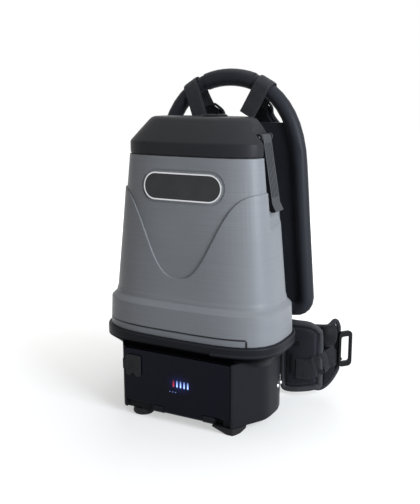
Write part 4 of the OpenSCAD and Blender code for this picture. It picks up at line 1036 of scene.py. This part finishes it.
def laid_on(pad):
    """A change of course that lays a band on the swollen pad below it, and ends it at the buckle's bar."""
    mesh = pad.data
    surface = BVHTree.FromPolygons([v.co for v in mesh.vertices], [p.vertices for p in mesh.polygons])
    above, below = 20 * MM, 10 * MM      # how far over and under the band the pad is looked for
    furthest = 7 * MM                    # a point of the band that is further from the pad stays
    bar = 9 * MM                         # distance of the buckle's bar from the solid's end

    def change(course):
        path = course.middle[course.at < course.at[-1] - bar].copy()
        for k, p in enumerate(path):
            out = Vector(course.face[k])
            hit = surface.ray_cast(Vector(p) + out * above, -out, above + below)[0]
            if hit is not None and (hit - Vector(p)).length < furthest:
                path[k] = hit + out * 1.6 * MM
        return path

    return change


def painted_shade_sheet(name, at, size, body):
    """Small thin dark sheet laid on as painted shade, which faces forwards; the size is its width and height.
    """
    thickness = 2.2 * MM
    up = np.array((0.0, 0.0, 1.0))
    path = np.array(at) + up * np.linspace(-size[1] / 2, size[1] / 2, 9)[:, None]
    dress(band(name, path, np.cross(up, FRONT), size[0], thickness), "webbing", body, SHADE_SHEET_FABRIC)


for side, sign in SIDES.items():
    webbing(f"strap_loop_{side}", lambda co: co.y, FRONT, 5,
            upright if side == "left" else None, LOOP_WEBBING)
    webbing(f"lower_strap_{side}", lambda co: co.z + 10 * co.y, REAR, 4)
    path = webbing(f"belt_web_{side}", lambda co: abs(co.x), FRONT, 4, laid_on(pads[f"hip_cover_{side}"]))
    body = BODY[f"belt_web_{side}"]
    # The webbing's turn round the buckle's bar
    turn = np.outer(np.linspace(-17, 17, 9) * MM, (0, 0, 1))
    dress(tube(f"belt_turn_{side}", path[-1] + turn, 2.6 * MM), "webbing", body)
    # Painted shade of the slot in the cover that the webbing comes out of, and another above it, each a thin
    # dark sheet
    painted_shade_sheet(f"cover_slot_shade_{side}", path[0] + (-sign * 7 * MM, 0.2 * MM, 9 * MM), (8 * MM, 38 * MM), body)
    painted_shade_sheet(f"cover_mark_shade_{side}", path[0] + (sign * 2 * MM, 0, 51 * MM), (14 * MM, 9 * MM), body)


def padded_roll(name, at, along, half, body):
    """Rolled padded end at the top of a wing; half holds half its length, thickness and height."""
    layers, sides = 15, 28
    puff = 2.6                   # 2 would make its side view an ellipse, and more makes it fuller
    along, up = unit(along), np.array((0.0, 0.0, 1.0))
    out = np.cross(along, up)

    def full(value):
        """A sine or cosine that makes a section fuller than an ellipse."""
        return math.copysign(abs(value) ** 0.8, value)

    rings = []
    for v in np.linspace(-0.97, 0.97, layers):
        w = (1 - abs(v) ** puff) ** (1 / puff)
        rings.append([np.array(at) + up * half[2] * v + along * half[0] * w * full(math.cos(g))
                      + out * half[1] * w * full(math.sin(g))
                      for g in np.linspace(0, 2 * math.pi, sides, endpoint=False)])
    mesh = grid_mesh(name, rings)
    co = points_of(mesh)
    # Shallow folds that run round it at a slant
    fold = 1.2 * MM * np.sin((co[:, 2] - at[2]) / half[2] * 5.0 + 90 * (co[:, 0] - at[0]))
    put_points(mesh, co + out * fold[:, None])
    no_seam = np.full(len(co), 0.02)
    store_weave(mesh, np.column_stack([co[:, 0], co[:, 2], no_seam]))
    smooth(mesh)
    piece = dress(new_object(name, mesh), "pad_mesh", body, ROLL_FABRIC)


for side, sign in SIDES.items():
    padded_roll(f"wing_roll_{side}", (sign * 0.195, 0.0825, 0.122), (sign * 0.8, 0.6, 0),
                (0.0150, 0.0100, 0.0205), BODY[f"belt_wing_{side}"])


# ---------- floor, light and white surround ----------
def softbox(name, at, size, power, color=(1.0, 1.0, 1.0)):
    """Rectangular lamp that points at the machine."""
    aim = Vector((0.0, 0.0, 0.28))
    data = bpy.data.lights.new(name, "AREA")
    data.shape = "RECTANGLE"
    data.size, data.size_y = size
    data.energy = power
    data.color = color
    light = bpy.data.objects.new(name, data)
    scene.collection.objects.link(light)
    light.location = at
    light.rotation_euler = (aim - light.location).to_track_quat("-Z", "Y").to_euler()
    return light


def seen_by_eye(tree):
    """1 for rays from the camera, in reflections and through glass, and 0 for light that falls on things."""
    path = tree.nodes.new("ShaderNodeLightPath")
    value = path.outputs["Is Camera Ray"]
    for kind in ("Is Glossy Ray", "Is Transmission Ray"):
        either = tree.nodes.new("ShaderNodeMath")
        either.operation = "MAXIMUM"
        tree.links.new(value, either.inputs[0])
        tree.links.new(path.outputs[kind], either.inputs[1])
        value = either.outputs[0]
    return value


def make_floor(albedo, glow, radii):
    """Pale floor, lifted to white for the eye. The lift is smaller near the machine, which paints a soft
    shadow round it on top of the shadow it really casts.

    glow is the lift at each of the radii."""
    mesh = bpy.data.meshes.new("floor")
    radius, corners, height = 9.0, 64, -0.2 * MM
    angles = [2 * math.pi * i / corners for i in range(corners)]
    mesh.from_pydata([(radius * math.cos(g), radius * math.sin(g), height) for g in angles], [],
                     [tuple(range(corners))])
    floor = new_object("floor", mesh)
    look = Look("floor", (albedo, albedo, albedo), 0.8, specular=0.0)
    look.rough(look.noise(3.0), 0.75, 0.85)
    look.set(Emission_Color=(1.0, 1.0, 1.0, 1.0))
    x, y, _ = look.position()
    away = look.radius(x, y)
    # The lift grows with distance from the machine: a painted shadow round it
    near, far = (look.ranged(away, 0.0, high - low, *span)
                 for low, high, span in zip(glow, glow[1:], (radii[:2], radii[1:])))
    lift = look.math("ADD", look.math("ADD", near, far), glow[0])
    look.link(look.math("MULTIPLY", seen_by_eye(look.tree), lift), look.bsdf.inputs["Emission Strength"])
    mesh.materials.append(look.mat)


def make_surround(fill):
    """White to the eye; a softer even light on everything else."""
    world = bpy.data.worlds.new("surround")
    scene.world = world
    world.use_nodes = True
    tree = world.node_tree
    tree.nodes.clear()
    mix = tree.nodes.new("ShaderNodeMixShader")
    tree.links.new(seen_by_eye(tree), mix.inputs[0])
    even, white = (1.0, 0.98, 0.94, 1.0), (1.0, 1.0, 1.0, 1.0)
    for socket, color, strength in ((1, even, fill), (2, white, 1.0)):
        glow = tree.nodes.new("ShaderNodeBackground")
        glow.inputs["Color"].default_value = color
        glow.inputs["Strength"].default_value = strength
        tree.links.new(glow.outputs[0], mix.inputs[socket])
    out = tree.nodes.new("ShaderNodeOutputWorld")
    tree.links.new(mix.outputs[0], out.inputs["Surface"])


make_floor(albedo=0.5, glow=(0.50, 0.72, 1.0), radii=(0.20, 0.55, 1.5))
make_surround(fill=0.155)
softbox("key_right", (1.91, -0.62, 1.0), (1.0, 1.5), 62, (0.87, 0.94, 1.0))
softbox("front_left", (-1.0, -1.9, 1.3), (1.3, 1.3), 1.0)
softbox("rear", (-0.8, 2.0, 1.2), (1.3, 1.3), 24).visible_glossy = False
softbox("top", (0.0, 0.2, 2.4), (1.8, 1.8), 14)
scene.view_settings.view_transform = "Standard"
scene.view_settings.look = "None"
